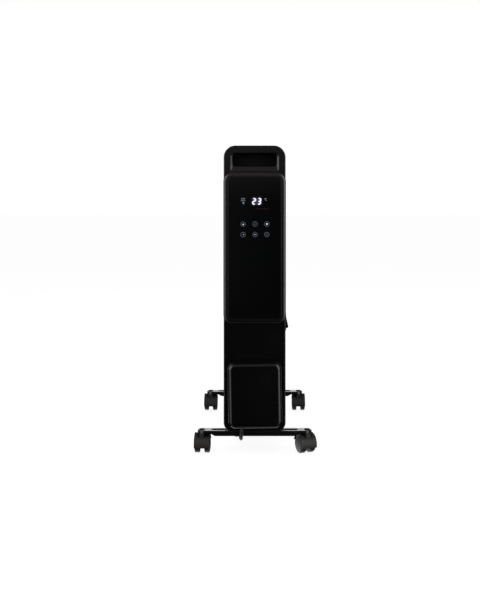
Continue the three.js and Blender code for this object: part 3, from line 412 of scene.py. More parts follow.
def skinned(loops, closed=False):
    """A skin over loops of equally many points. It has end faces, or closes on itself."""
    shape = bmesh.new()
    rows = [[shape.verts.new(p) for p in loop] for loop in loops]
    for first, second in zip(rows, rows[1:] + (rows[:1] if closed else [])):
        bridge(shape, first, second)
    if not closed:
        shape.faces.new(rows[0][::-1])
        shape.faces.new(rows[-1])
    return shape


def upright(sections):
    """A skin over (depth, outline) pairs."""
    return skinned([[at(x, depth, z) for x, z in points] for depth, points in sections])


def moulded(edge, back, around):
    """An outline that follows an edge of (depth, inset) pairs and runs straight to its back."""
    return upright([*((depth, around(inset)) for depth, inset in edge), (back, around(0))])


def prism(points, start, end):
    """An upright outline carried straight from one depth to another."""
    return upright([(start, points), (end, points)])


def flat(sections, x, depth):
    """A skin over (height, outline) pairs lying flat round a place."""
    return skinned([[at(x + u, depth + v, z) for u, v in points] for z, points in sections])


def turned(profile, steps):
    """A profile of (radius, along) turned about Z. It starts and ends on the axis, or closes."""
    shape = bmesh.new()
    rings = []
    for radius, along in profile:
        points = circle(radius, steps) if radius else [(0, 0)]
        rings.append([shape.verts.new(mm(x, y, along)) for x, y in points])
    if profile[0][0] and profile[-1][0]:
        rings.append(rings[0])
    for first, second in zip(rings, rings[1:]):
        if len(first) == len(second):
            bridge(shape, first, second)
        else:
            (tip,), ring = sorted((first, second), key=len)
            for a, b in zip(ring, ring[1:] + ring[:1]):
                shape.faces.new((a, b, tip))
    return shape


def rod(radius, low, high, steps=20):
    return turned([(0, low), (radius, low), (radius, high), (0, high)], steps)


def moved(shape, place, turn=Matrix()):
    matrix = Matrix.Translation(place) @ turn
    bmesh.ops.transform(shape, matrix=matrix, verts=shape.verts)
    return shape


def block(low, high):
    """A box between two corners."""
    shape = bmesh.new()
    bmesh.ops.create_cube(shape, size=1)
    return moved(shape, (low + high) / 2, Matrix.Diagonal((*(high - low), 1)))


def joined(*shapes):
    """Several shapes as one, each with its own faces outwards."""
    whole = bmesh.new()
    for shape in shapes:
        bmesh.ops.recalc_face_normals(shape, faces=shape.faces)
        mesh = bpy.data.meshes.new("part")
        shape.to_mesh(mesh)
        shape.free()
        whole.from_mesh(mesh)
        bpy.data.meshes.remove(mesh)
    return whole


ALONG_X = Matrix.Rotation(math.radians(90), 4, "Y")
ALONG_Y = Matrix.Rotation(math.radians(-90), 4, "X")
print("shape tools ready")


# %% From a shape to a finished object
def as_object(name, shape):
    """A bmesh as an object at the origin, its faces pointing outwards."""
    bmesh.ops.recalc_face_normals(shape, faces=shape.faces)
    mesh = bpy.data.meshes.new(name)
    shape.to_mesh(mesh)
    shape.free()
    piece = bpy.data.objects.new(name, mesh)
    scene.collection.objects.link(piece)
    return piece


def baked(piece):
    """The piece with its modifiers worked into one plain mesh."""
    graph = bpy.context.evaluated_depsgraph_get()
    worked = piece.evaluated_get(graph)
    mesh = bpy.data.meshes.new_from_object(worked, preserve_all_data_layers=True, depsgraph=graph)
    piece.modifiers.clear()
    old, piece.data = piece.data, mesh
    mesh.name = piece.name
    bpy.data.meshes.remove(old)
    return piece


def carved(piece, *tools, operation="DIFFERENCE"):
    """Cuts shapes or objects out of the piece, or joins them to it, and removes them."""
    tools = [tool if isinstance(tool, bpy.types.Object) else as_object("tool", tool) for tool in tools]
    for tool in tools:
        modifier = piece.modifiers.new("carve", "BOOLEAN")
        modifier.operation, modifier.solver, modifier.object = operation, "EXACT", tool
    baked(piece)
    for tool in tools:
        bpy.data.objects.remove(tool)
    return piece


def smoothed(piece, angle=32):
    """Rounded faces shade as one surface and real edges stay crisp."""
    mesh = piece.data
    mesh.polygons.foreach_set("use_smooth", [True] * len(mesh.polygons))
    mesh.set_sharp_from_angle(angle=math.radians(angle))
    piece.modifiers.new("weights", "WEIGHTED_NORMAL").keep_sharp = True
    return baked(piece)


def softened(piece, width, segments=2, angle=32):
    """Rounds every edge sharper than angle by width."""
    modifier = piece.modifiers.new("soften", "BEVEL")
    modifier.width, modifier.segments = width * MM, segments
    modifier.limit_method, modifier.angle_limit = "ANGLE", math.radians(angle)
    modifier.miter_outer = "MITER_ARC"
    return smoothed(baked(piece), angle)


def dressed(piece, material, replaces=(), body="root"):
    """Gives a piece its material, the CAD body it rides on, and the CAD nodes it stands for."""
    piece.data.materials.clear()
    piece.data.materials.append(material)
    piece.data.polygons.foreach_set("material_index", [0] * len(piece.data.polygons))
    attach(piece, body)
    if replaces:
        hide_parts(*replaces)
    return piece


def painted(piece, material, belongs):
    """Gives a second material to the faces that belong to it."""
    piece.data.materials.append(material)
    for face in piece.data.polygons:
        if belongs(face, *reading(face.center)):
            face.material_index = 1


def copy_of(node, width):
    """A CAD solid's triangles welded into flat faces again, with its edges rounded."""
    shape = bmesh.new()
    shape.from_mesh(frame["nodes"][node].data)
    bmesh.ops.remove_doubles(shape, verts=shape.verts, dist=2e-6)
    bmesh.ops.dissolve_limit(shape, angle_limit=math.radians(0.8), verts=shape.verts, edges=shape.edges)
    return softened(as_object(node + "_finish", shape), width)


print("piece tools ready")

# %% [markdown]
# ## The mains lead
#
# The lead leaves the winder through a strain relief, drops in front of the rail, bends back under it
# and slopes down to the floor beneath the fins, where its spare length lies in two layers of a neat
# coil, held by a cable tie. A cord is a swept round section: the route is a list of points on one
# smooth line, and the section is carried along it without twisting. The CAD solids follow it too.


# %% A smooth line and a tube along it
def centripetal(points, spacing):
    """Points about spacing apart on the centripetal Catmull-Rom line through the given ones."""
    given = [Vector(p) for p in points]
    given = [2 * given[0] - given[1], *given, 2 * given[-1] - given[-2]]
    line = []
    for four in zip(given, given[1:], given[2:], given[3:]):
        knots = [0.0]
        for a, b in zip(four, four[1:]):
            knots.append(knots[-1] + max((b - a).length, 1e-6) ** 0.5)
        steps = max(1, round((four[2] - four[1]).length / spacing))
        for i in range(steps):
            t = knots[1] + (knots[2] - knots[1]) * i / steps
            blend = four
            for starts, ends in ((knots, knots[1:]), (knots, knots[2:]), (knots[1:], knots[2:])):
                spans = zip(blend, blend[1:], starts, ends)
                blend = [a.lerp(b, (t - low) / (high - low)) for a, b, low, high in spans]
            line.extend(blend)
    return [*line, given[-2]]


def swept(points, section):
    """A flat section in metres carried along points without twisting, as a closed tube."""
    side = (points[1] - points[0]).orthogonal()
    loops = []
    for i, point in enumerate(points):
        forward = (points[min(i + 1, len(points) - 1)] - points[max(i - 1, 0)]).normalized()
        side = (side - forward * side.dot(forward)).normalized()
        rise = forward.cross(side)
        loops.append([point + side * u + rise * v for u, v in section])
    return skinned(loops)


print("a straight line of 10 cm has", len(centripetal([(0, 0, 0), (0.1, 0, 0)], 0.01)), "points")

# %% Route of the lead
LEAD_ROUTE = [
    (-27.5, -13.75, 72.4), (-27.7, -13.75, 66), (-28, -13.4, 58.5), (-28.3, -11.2, 49.5),
    (-28.7, -6.5, 41.6), (-29.1, 0.4, 36), (-29.6, 8.9, 32.9), (-30.2, 18, 31.9), (-31, 32, 31.2),
    (-32.2, 50, 29.3), (-34, 72, 25.9), (-36.4, 96, 21), (-39.5, 120, 15.2), (-42.4, 142, 9.6),
    (-44.6, 161, 5.7), (-46.1, 178, 4), (-47, 195, 3.6), (-47.3, 208, 3.6), (-47.3, 219.4, 3.6),
]
COIL_DEPTH, COIL_WIDE, COIL_TIGHT = 246.0, 47.3, 29.8
LAYER_LOW, LAYER_HIGH = 3.6, 10.8
TURNS_IN, TURNS_UP, TURNS_OUT, STEPS_A_TURN = 2.36, 0.28, 2.36, 40
PLUG_ENTRY = (-COIL_WIDE, 258.0, 19.4)
RISE_FROM, RISE_TURNS = 214, 0.25  # the end rises from this depth, in the coil's last quarter turn


def coil_points():
    """Two layers wound clockwise: in to the middle on the floor, up, and out again on top."""
    total = TURNS_IN + TURNS_UP + TURNS_OUT
    steps = round(total * STEPS_A_TURN)
    points = []
    for i in range(steps + 1):
        turn = total * i / steps
        inward = min(turn / TURNS_IN, 1)
        outward = max((turn - TURNS_IN - TURNS_UP) / TURNS_OUT, 0)
        radius = COIL_WIDE - (COIL_WIDE - COIL_TIGHT) * (inward - outward)
        angle = math.pi - 2 * math.pi * turn
        depth = COIL_DEPTH + radius * math.sin(angle)
        height = LAYER_LOW + (LAYER_HIGH - LAYER_LOW) * eased(turn - TURNS_IN, TURNS_UP)
        if turn > total - RISE_TURNS:
            rise = eased(depth - RISE_FROM, PLUG_ENTRY[1] - RISE_FROM)
            height += (PLUG_ENTRY[2] - LAYER_HIGH) * rise
        points.append(at(radius * math.cos(angle), depth, height))
    return points


route = centripetal([at(*p) for p in LEAD_ROUTE], 0.004)
route += [at(-COIL_WIDE, 228, 3.6), at(-COIL_WIDE, 237, 3.6)] + coil_points() + [at(*PLUG_ENTRY)]
lead_length = sum((b - a).length for a, b in zip(route, route[1:]))
print("lead", round(lead_length, 4), "m over", len(route), "points")

# %% Lead, coil and tie
LEAD_RADIUS = 3.5
TIE_HALF, TIE_THICK, TIE_ABOVE_FLOOR = 1.8, 0.9, 0.2
lead = as_object("mains_lead_full", swept(route, circle(LEAD_RADIUS * MM, 14)))
dressed(smoothed(lead, 60), cord_rubber, ["mains_lead", "lead_coil"])

tie_depth = COIL_DEPTH + (COIL_WIDE + COIL_TIGHT) / 2
tie_path = [at(0, tie_depth + x, 0.25 + z * 0.99) for x, z in outline(13.1, -0.2, 15.1, 3.2, 3.2, 6)]
tie_middle = at(0, tie_depth, 7.4)
tie_loops = []
for x, out in ((-TIE_HALF, 0), (TIE_HALF, 0), (TIE_HALF, TIE_THICK), (-TIE_HALF, TIE_THICK)):
    loop = [p + (p - tie_middle).normalized() * out * MM for p in tie_path]
    tie_loops.append([(x * MM, p.y, max(p.z, TIE_ABOVE_FLOOR * MM)) for p in loop])
coil_tie = dressed(smoothed(as_object("coil_tie", skinned(tie_loops, closed=True))), inner_plastic)
print("lead", len(lead.data.polygons), "faces; tie", len(coil_tie.data.polygons))

# %% [markdown]
# ## Control cover
#
# The cover is a deep moulded tray, open at the back. Its front edge is rounded by 2 mm. A pocket
# near the top is the handle, and its mouth flares like a funnel, so its walls catch the light. Air
# slots low in both sides repeat every 12 mm, so Geometry Nodes makes the row of cutters: one box,
# placed on a line of points. The tree's sizes are named inputs.


# %% A tree for things in a row
def tree_of(name, *numbers):
    """A Geometry Nodes tree with named inputs: its sheet, and its wrapped input node."""
    tree = bpy.data.node_groups.new(name, "GeometryNodeTree")
    face = tree.interface
    face.new_socket("Geometry", in_out="INPUT", socket_type="NodeSocketGeometry")
    for label, kind, value in numbers:
        face.new_socket(label, in_out="INPUT", socket_type=kind).default_value = value
    face.new_socket("Material", in_out="INPUT", socket_type="NodeSocketMaterial")
    face.new_socket("Geometry", in_out="OUTPUT", socket_type="NodeSocketGeometry")
    sheet = Sheet(tree)
    return sheet, sheet.add("NodeGroupInput")


def tree_end(sheet, start, points, **turns):
    """Ends a tree: copies on its points, made real, given their material, and sent out."""
    copies = {"Points": points, "Instance": start.out("Geometry"), **turns}
    copies = sheet.add("GeometryNodeInstanceOnPoints", copies)
    real = sheet.add("GeometryNodeRealizeInstances", {"Geometry": copies})
    finished = {"Geometry": real, "Material": start.out("Material")}
    sheet.add("NodeGroupOutput", {"Geometry": sheet.add("GeometryNodeSetMaterial", finished)})
    print("tree", sheet.tree.name, "with", len(sheet.tree.nodes), "nodes")


def grown(piece, sheet, material, **sizes):
    """Runs a tree on a piece, with sizes given by input name, and keeps the mesh it makes."""
    modifier = piece.modifiers.new(sheet.tree.name, "NODES")
    modifier.node_group = sheet.tree
    sizes["Material"] = material
    for socket in sheet.tree.interface.items_tree:
        if socket.in_out == "INPUT" and socket.name in sizes:
            modifier[socket.identifier] = sizes[socket.name]
    return baked(piece)


in_a_row, start = tree_of(
    "row",
    ("Count", "NodeSocketInt", 5),
    ("Step", "NodeSocketVector", (0, 0, 0.01)),
    ("Start", "NodeSocketVector", (0, 0, 0)),
)
ends = {"Count": start.out("Count"), "Start Location": start.out("Start"), "Offset": start.out("Step")}
tree_end(in_a_row, start, in_a_row.add("GeometryNodeMeshLine", ends, mode="OFFSET"))

# %% Cover
(_, _, COVER_LOW), (COVER_HALF, _, COVER_TOP) = reach("front_cover")
(_, panel_front, panel_low), (PANEL_HALF, panel_back, panel_top) = reach("panel_trim")
(_, switch_front, switch_low), (_, switch_back, switch_top) = reach("switch_housing")
EDGE, WALL, SKIN, COVER_BACK = 2.0, 2.6, 3.0, 72.0
LOW_CORNER, TOP_CORNER = 17.0, 25.5
POCKET = (54.7, 58.2, 44.3, 8)  # half width, lower edge below the top, height, corner
MOUTH = [  # depth, and the same four sizes
    (-0.5, 53.3, 56.8, 41.5, 8.6), (0.25, 52.9, 56.4, 40.6, 8.4), (1.1, 52.2, 55.5, 39.1, 8.1),
    (3.2, 48.8, 45.7, 27.4, 6.5), (34, 48.8, 45.7, 27.4, 6.5),
]
POCKET_FRONT, POCKET_BACK = 2, 36.4
WINDOW_HALF, WINDOW_LOW, WINDOW_TOP = 46, 160, 30  # its heights are below the panel's top
SLOT_STEP, SLOTS_LOW, SLOT_FRONT, SLOT_BACK, SLOT_TALL = 12, 40, 18, 56, 4
SWITCH_LAP_DEPTH, SWITCH_LAP = 0.4, 1.8  # how far the switch's bezel covers the edge of its hole
THROUGH = 5  # how far a cutter reaches past a wall


def cover_outline(inset):
    low, high = COVER_LOW + inset, COVER_TOP - inset
    return outline(COVER_HALF - inset, low, high, LOW_CORNER - inset, TOP_CORNER - inset)


def centred(half, below_top, height, corner):
    low = COVER_TOP - below_top
    return outline(half, low, low + height, corner, corner)


cover = as_object("front_cover_finish", moulded(rounded_edge(EDGE), COVER_BACK, cover_outline))
carved(cover, prism(cover_outline(WALL), SKIN, COVER_BACK + 1))
carved(cover, prism(centred(*POCKET), POCKET_FRONT, POCKET_BACK), operation="UNION")
mouth = upright([(depth, centred(*sizes)) for depth, *sizes in MOUTH])
window = block(
    at(-WINDOW_HALF, -THROUGH, panel_top - WINDOW_LOW), at(WINDOW_HALF, THROUGH, panel_top - WINDOW_TOP)
)
switch_hole = block(
    at(COVER_HALF - THROUGH, switch_front + SWITCH_LAP_DEPTH, switch_low + SWITCH_LAP),
    at(COVER_HALF + THROUGH, switch_back - SWITCH_LAP_DEPTH, switch_top - SWITCH_LAP),
)
carved(cover, mouth, window, switch_hole)
for side in SIDES.values():
    low = at(side * COVER_HALF - THROUGH, SLOT_FRONT, 0)
    slot = as_object("slot", block(low, at(side * COVER_HALF + THROUGH, SLOT_BACK, SLOT_TALL)))
    places = {"Count": 5, "Step": mm(0, 0, SLOT_STEP), "Start": mm(0, 0, COVER_LOW + SLOTS_LOW)}
    carved(cover, grown(slot, in_a_row, satin_plastic, **places))


def in_pocket(face, x, depth, height):
    return abs(x) < 50 and 4 < depth < 35 and 15 < COVER_TOP - height < 50


dressed(softened(cover, 0.35), satin_plastic, ["front_cover"])
# The faces inside the pocket get that darker copy of the cover's plastic, which is painted shade.
painted(cover, pocket_painted_shade, in_pocket)
print("cover", len(cover.data.polygons), "faces")

# %% [markdown]
# ## Touch panel
#
# A slim frame surrounds a sheet of black glass. The frame's front edge is drawn down all round, and
# that slope is what shines in the light from behind. The slope has a warm tint of its own, and its
# colour is also much lighter than the rest of the frame, which is a painted highlight along the edge.
# The glass is a plain slab with a fine bevel.

# %% Panel frame and glass
(_, glass_front, _), (_, glass_back, _) = reach("glass_panel")
PANEL_LOW, PANEL_TOP = panel_low - 2.4, panel_top + 1.8
PANEL_CORNER, RIM, LEDGE, GAP = 19.0, 10.0, 4.0, 0.3
SLOPE_DEPTH, SLOPE_WIDTH = 4, 6.5
GLASS_BEVEL = [(0.0, 0.4), (0.1, 0.15), (0.3, 0.04), (0.5, 0.0)]


def panel_outline(inset):
    corner = PANEL_CORNER - inset
    return outline(PANEL_HALF - inset, PANEL_LOW + inset, PANEL_TOP - inset, corner, corner)


def on_slope(face, x, depth, height):
    return -0.86 < face.normal.y < 0.1 and -0.1 < depth - panel_front < SLOPE_DEPTH + 0.1


slope = [(panel_front + u * SLOPE_DEPTH, v * SLOPE_WIDTH) for u, v in rounded_edge(1.0, 10)]
trim = as_object("panel_trim_finish", moulded(slope, panel_back, panel_outline))
rebate = prism(panel_outline(RIM), panel_front - 1, glass_back + 0.3)
opening = prism(panel_outline(RIM + LEDGE), panel_front - 1, panel_back + 1)
dressed(softened(carved(trim, rebate, opening), 0.15), trim_plastic, ["panel_trim"])
# The slope's faces get that colour: a real warm tint, lightened as a painted highlight.
painted(trim, trim_tint_and_highlight, on_slope)
bevel = [(glass_front + depth, inset) for depth, inset in GLASS_BEVEL]
glass = moulded(bevel, glass_back, lambda inset: panel_outline(RIM + GAP + inset))
glass = as_object("glass_panel_finish", glass)
print("panel", round(panel_front, 2), "to", round(panel_back, 2), "mm from the face")

# %% [markdown]
# ## What the panel shows
#
# The display is a two-digit room temperature in slanted segments, a small heating mark and a link
# mark beside it, a degree mark, and six touch keys, each a ring around its sign. They glow through
# the glass, so they are thin shapes on its face with an emitting material, and the glass round the
# digits carries a faint halo.

# %% Glowing marks
MARK_LIFT, MARK_SUNK = 0.04, 0.2


def mark(pieces, *polygons):
    """Adds flat polygons of (across, up) points as thin tiles on the glass."""
    for polygon in polygons:
        front = [pieces.verts.new(at(x, glass_front - MARK_LIFT, z)) for x, z in polygon]
        back = [pieces.verts.new(at(x, glass_front + MARK_SUNK, z)) for x, z in polygon]
        pieces.faces.new(front)
        pieces.faces.new(back[::-1])
        bridge(pieces, back, front)


def ring_marks(pieces, x, z, radius, width, start=0, end=360, steps=28):
    inner, outer = (arc(x, z, r, start, end, steps) for r in (radius - width / 2, radius + width / 2))
    for i in range(steps):
        mark(pieces, [inner[i], outer[i], outer[i + 1], inner[i + 1]])


def stroke(a, b, width):
    """A line of some width as a polygon with pointed ends, as a display segment has."""
    a, b = Vector(a), Vector(b)
    along = (b - a).normalized() * (width / 2)
    left = Vector((-along.y, along.x))
    return [a, a + along + left, b - along + left, b, b - along - left, a + along - left]


def tile(x, z, half_x, half_z):
    return [(x + u * half_x, z + v * half_z) for u, v in SQUARE]


DIGIT_X, DIGIT_Z, DIGIT_SPREAD = 4.5, 548.6, 5.7
DIGIT_WIDE, DIGIT_TALL, DIGIT_SLANT, DIGIT_STROKE = 5.2, 11.8, 0.1, 2.8
SEGMENTS = {
    "a": ((0, 1), (1, 1)), "b": ((1, 0.5), (1, 1)), "c": ((1, 0), (1, 0.5)), "d": ((0, 0), (1, 0)),
    "e": ((0, 0), (0, 0.5)), "f": ((0, 0.5), (0, 1)), "g": ((0, 0.5), (1, 0.5)),
}
digits = bmesh.new()
for lit_segments, offset in (("abged", -DIGIT_SPREAD), ("abgcd", DIGIT_SPREAD)):
    for name in lit_segments:
        ends = []
        for u, v in SEGMENTS[name]:
            rise = (v - 0.5) * DIGIT_TALL
            x = DIGIT_X + offset + (u - 0.5) * DIGIT_WIDE + rise * DIGIT_SLANT
            ends.append((x, DIGIT_Z + rise))
        mark(digits, stroke(*ends, DIGIT_STROKE))
print("digits", len(digits.faces), "faces")

# %% Signs on the keys
keys, bright, heat_marks, link_mark, dim_line = (bmesh.new() for _ in range(5))
x0, x1, x2 = KEY_COLUMNS = (-25.0, 0.9, 26.3)
z0, z1 = KEY_ROWS = (499.7, 476.9)
RING_RADIUS, RING_WIDTH = 5.0, 0.5
for z in KEY_ROWS:
    for x in KEY_COLUMNS:
        ring_marks(keys, x, z, RING_RADIUS, RING_WIDTH)
# Upper row: a lock, a plus and a lamp with its rays.
mark(bright, tile(x0 + 0.4, z0 - 0.9, 1.3, 1.0))
ring_marks(keys, x0 + 0.4, z0 + 0.4, 1.0, 0.45, 0, 180, 8)
mark(keys, stroke((x1 - 1.6, z0), (x1 + 1.6, z0), 0.6), stroke((x1, z0 - 1.6), (x1, z0 + 1.6), 0.6))
mark(bright, tile(x2 + 0.2, z0, 1.5, 1.5))
for inner, outer in zip(*(arc(x2 + 0.2, z0, r, 45, 315, 3) for r in (2.6, 3.5))):
    mark(keys, stroke(inner, outer, 0.6))
# Lower row: a clock's hands, a minus and four small squares.
mark(keys, stroke((x0, z1), (x0, z1 + 2.6), 0.6))
mark(bright, stroke((x0, z1 - 0.2), (x0 + 2.4, z1 - 0.2), 0.8))
mark(bright, stroke((x1 - 2.2, z1), (x1 + 2.2, z1), 0.6))
mark(keys, *(tile(x2 + dx, z1 + dz, 0.5, 0.5) for dx in (-1.3, 1.3) for dz in (-1.3, 1.3)))
# Beside the digits: three wavy lines between two bars, a degree sign and its C, and a link mark of
# two arcs and a dot. Below the digits is a dim line.
for i in range(3):
    x = -28.0 + 3.1 * i
    points = [(x + 0.5 * math.sin(k * math.pi / 3), 550.3 + k * 0.62) for k in range(7)]
    mark(heat_marks, *(stroke(a, b, 0.9) for a, b in zip(points, points[1:])))
mark(heat_marks, *(stroke((-29.4, z), (-20.4, z), 0.7) for z in (554.8, 549.8)))
ring_marks(heat_marks, 21.7, 554.1, 0.7, 0.5, steps=12)
ring_marks(heat_marks, 24.8, 552.6, 1.9, 0.7, 50, 310, 12)
ring_marks(link_mark, -24.2, 543.0, 3.2, 0.8, 45, 135, 10)
ring_marks(link_mark, -24.2, 543.0, 1.8, 0.8, 45, 135, 8)
mark(link_mark, arc(-24.2, 543.1, 0.7, 0, 360, 12)[:-1])
mark(dim_line, tile(16.0, 532.4, 14.0, 0.6))
print("keys", len(keys.faces), "faces")


# %% How they glow
def glow(name, colour, strength):
    """Light that is a little uneven, as it is behind a printed mask."""
    material, sheet, place = new_material(name, "black_glass")
    dim = (*(v * 0.82 for v in colour[:3]), 1.0)
    sheet.principled({
        "Base Color": shade(10), "Roughness": 0.15, "Emission Strength": strength,
        "Emission Color": sheet.mix(sheet.noise(place, 300, 1.0), dim, colour),
    })
    return material


panel_marks = [
    ("display_digits", digits, glow("digit_light", shade(250, 247, 255), 1.3)),
    ("key_rings", keys, glow("key_light", shade(120, 126, 148), 1.0)),
    ("fan_key_lit", bright, glow("lit_key_light", shade(235, 238, 255), 1.1)),
    ("heat_marks", heat_marks, glow("heat_light", shade(150, 150, 160), 1.0)),
    ("link_mark", link_mark, glow("link_light", shade(130, 178, 220), 1.0)),
    ("dim_line", dim_line, glow("dim_light", shade(40, 10, 16), 1.0)),
]
for name, shape, material in panel_marks:
    dressed(as_object(name, shape), material)
print("marks", [name for name, _, _ in panel_marks])

# %% Black glass with a halo
black_glass, sheet, place = new_material("black_glass", "black_glass")
spot = sheet.add("ShaderNodeSeparateXYZ", {0: place})


def outside(value, middle, half):
    """How far a coordinate lies outside a range, in centimetres."""
    return ((value - middle * MM).maths("ABSOLUTE") - half * MM).maths("MAXIMUM", 0.0) * 100


gap_x = outside(spot.out("X"), DIGIT_X, 9.0)
gap_z = outside(spot.out("Z"), DIGIT_Z, 6.5)
far = (gap_x * gap_x + gap_z * gap_z).maths("SQRT")
halo = (far * -9).maths("EXPONENT")
smear = sheet.noise(place, 24, 4.0, 0.6)
sheet.principled({
    "Base Color": sheet.mix(smear, shade(4, 5, 5), shade(7, 7, 8)), "Roughness": 0.035 + smear * 0.03,
    "Emission Color": sheet.mix(halo, (0, 0, 0, 1), (0.05, 0.04, 0.085, 1)), "Emission Strength": 1.0,
})
dressed(smoothed(glass), black_glass, ["glass_panel"])
print("glass", len(glass.data.polygons), "faces")

# %% [markdown]
# ## Cord winder
#
# The winder is a thick plate with generously rounded edges, held away from the cover by a hub. It
# sits about a degree out of square. The lead passes out through a ribbed strain relief below it.

# %% Winder plate, hub and strain relief
PLATE_HALF, PLATE_TALL, PLATE_CORNER, PLATE_ROUND = 58.0, 142.0, 16.5, 9.4
PLATE_SKEW = math.radians(-0.9)
plate_x, _, plate_z = centre("winder_plate")
(_, plate_front, _), (_, plate_back, _) = reach("winder_plate")


def plate_outline(inset):
    corner = PLATE_CORNER - inset
    points = outline(PLATE_HALF - inset, inset - PLATE_TALL / 2, PLATE_TALL / 2 - inset, corner, corner)
    cos, sin = math.cos(PLATE_SKEW), math.sin(PLATE_SKEW)
    return [(plate_x + x * cos + z * sin, plate_z - x * sin + z * cos) for x, z in points]


def ribs(radius, widening, start, step, rib):
    """Six ribs of a strain relief: one rib's profile, repeated along the axis and widening."""
    return [(radius + widening * i + r, start + step * i + z) for i in range(6) for r, z in rib]


plate_edge = [(plate_front + depth, inset) for depth, inset in rounded_edge(PLATE_ROUND, 10)]
winder_plate = as_object("winder_plate_finish", moulded(plate_edge, plate_back, plate_outline))
dressed(smoothed(winder_plate), satin_plastic, ["winder_plate"])
dressed(copy_of("winder_hub", 0.6), satin_plastic, ["winder_hub"])

GLAND_LONG = 23.0
gland_profile = [
    (0, 0), (4.2, 0), (4.5, 0.6),
    *ribs(4.5, 0.22, 1.6, 2.7, [(0, 0), (-0.75, 0.35), (-0.7, 1.1), (0.15, 1.4)]),
    (6.0, 18.6), (7.8, 18.9), (8.0, 19.3), (8.0, GLAND_LONG), (0, GLAND_LONG),
]
gland_x, gland_depth, _ = centre("cord_gland")
(_, _, gland_low), (_, _, gland_top) = reach("cord_gland")
stretch = (gland_top - gland_low) / GLAND_LONG
relief = turned([(r, z * stretch) for r, z in gland_profile], 28)
relief = as_object("cord_gland_finish", moved(relief, at(gland_x, gland_depth, gland_low)))
dressed(smoothed(relief), cord_rubber, ["cord_gland"])
print("winder plate", len(winder_plate.data.polygons), "faces")

# %% [markdown]
# ## Oil filled fins
#
# A fin is two pressed steel sheets welded face to face. The press leaves a header across each end
# and three upright channels between them, and both side edges are folded into deep lips. The shape
# follows a rule, so the sheet's height comes from smooth steps over a grid. The nine fins are one
# mesh repeated at a fixed pitch by the row tree that made the air slots. The same tree places the
# dimples of the spot welds that hold the last fin's two sheets together.

# %% The height of the pressed sheet
(_, _, FIN_LOW), (_, _, FIN_HIGH) = reach("fin_2")
PITCH = reach("fin_3")[0][1] - reach("fin_2")[0][1]
FIRST, LAST = centre("fin_2")[1] - PITCH, centre("fin_9")[1]  # depths of the first and last fins
FIN_COUNT, FIN_HALF, LIP_DEEP, SHEET = 9, 64.0, 36.0, 1.6
LOW_ROUND, HIGH_ROUND = 12.0, 22.0  # the sheet's corners
CHAMBER_HALF, CHAMBER_THICK, CHAMBER_MARGIN, HEADER_TALL = 52.0, 17.0, 14.0, 62.0
CHAMBER_LOW, CHAMBER_HIGH = FIN_LOW + CHAMBER_MARGIN, FIN_HIGH - CHAMBER_MARGIN


def box_distance(x, z, half_x, low, high, radius):
    """Signed distance inwards from a rounded rectangle's edge, as an array."""
    middle, half_z = (low + high) / 2, (high - low) / 2
    dx, dz = np.abs(x) - (half_x - radius), np.abs(z - middle) - (half_z - radius)
    outer = np.hypot(np.maximum(dx, 0), np.maximum(dz, 0))
    return radius - (outer + np.minimum(np.maximum(dx, dz), 0))


def swell(x, z):
    """Height of the sheet above the seam, 0 to 1: one chamber, less two seams between channels."""
    body = eased(box_distance(x, z, CHAMBER_HALF, CHAMBER_LOW, CHAMBER_HIGH, 20), 8.5)
    low, high = CHAMBER_LOW + HEADER_TALL, CHAMBER_HIGH - HEADER_TALL
    for middle in (-CHAMBER_HALF / 3, CHAMBER_HALF / 3):
        body = np.minimum(body, eased(-box_distance(x - middle, z, 3.6, low, high, 3.5), 7.0))
    return body


columns = np.unique(np.concatenate([np.linspace(-1, 1, 33), [-0.86, -0.72, 0.72, 0.86]]))
end_rows = np.linspace(0, 86, 22)
middle_rows = np.linspace(FIN_LOW + 96, FIN_HIGH - 96, 12)
rows = np.concatenate([FIN_LOW + end_rows, middle_rows, (FIN_HIGH - end_rows)[::-1]])
print("fin grid", len(columns), "by", len(rows))

# %% One fin
fin_shape = bmesh.new()
edges = []
for side in (-1, 1):
    grid = []
    for z in rows:
        corner = HIGH_ROUND if z > (FIN_LOW + FIN_HIGH) / 2 else LOW_ROUND
        into = corner - min(z - FIN_LOW, FIN_HIGH - z)
        narrow = corner - math.sqrt(max(corner**2 - into**2, 0)) if into > 0 else 0.0
        x = columns * (FIN_HALF - SHEET / 2 - narrow)
        height = SHEET / 2 + (CHAMBER_THICK / 2 - SHEET / 2) * swell(x, z)
        grid.append([fin_shape.verts.new(mm(u, side * h, z)) for u, h in zip(x, height)])
    for low, high in zip(grid, grid[1:]):
        for c in range(len(columns) - 1):
            quad = (low[c], low[c + 1], high[c + 1], high[c])
            fin_shape.faces.new(quad if side < 0 else quad[::-1])
    left, right = [row[0] for row in grid], [row[-1] for row in grid]
    edges.append(grid[0] + right[1:] + grid[-1][-2::-1] + left[-2:0:-1])
bridge(fin_shape, edges[1], edges[0])

LIP_LOW, LIP_HIGH = FIN_LOW + 26, FIN_HIGH - 26
LIP_NARROWS = (0.8, 3, 6, 10, 16)  # distances from the lip's ends, where it grows to its full width
LIP_PROFILE = [(5.0, 0.0), (2.6, 0.0), (1.1, 0.6), (0.2, 1.8), (0.0, 3.6)]  # inset and along


def lip_loop(side, z, from_end):
    """The section of a folded lip at one height: round its outside, and back along its inside."""
    spread = math.sqrt(1 - (1 - from_end / LIP_NARROWS[-1]) ** 2)
    half = LIP_DEEP / 2 * (0.35 + 0.65 * spread)
    outer = [(FIN_HALF - inset, along - half) for inset, along in LIP_PROFILE]
    inner = [(FIN_HALF - max(inset, SHEET), max(along, SHEET) - half) for inset, along in LIP_PROFILE]
    outer += [(x, -y) for x, y in reversed(outer)]
    inner += [(x, -y) for x, y in reversed(inner)]
    return [mm(side * x, y, z) for x, y in outer + inner[::-1]]


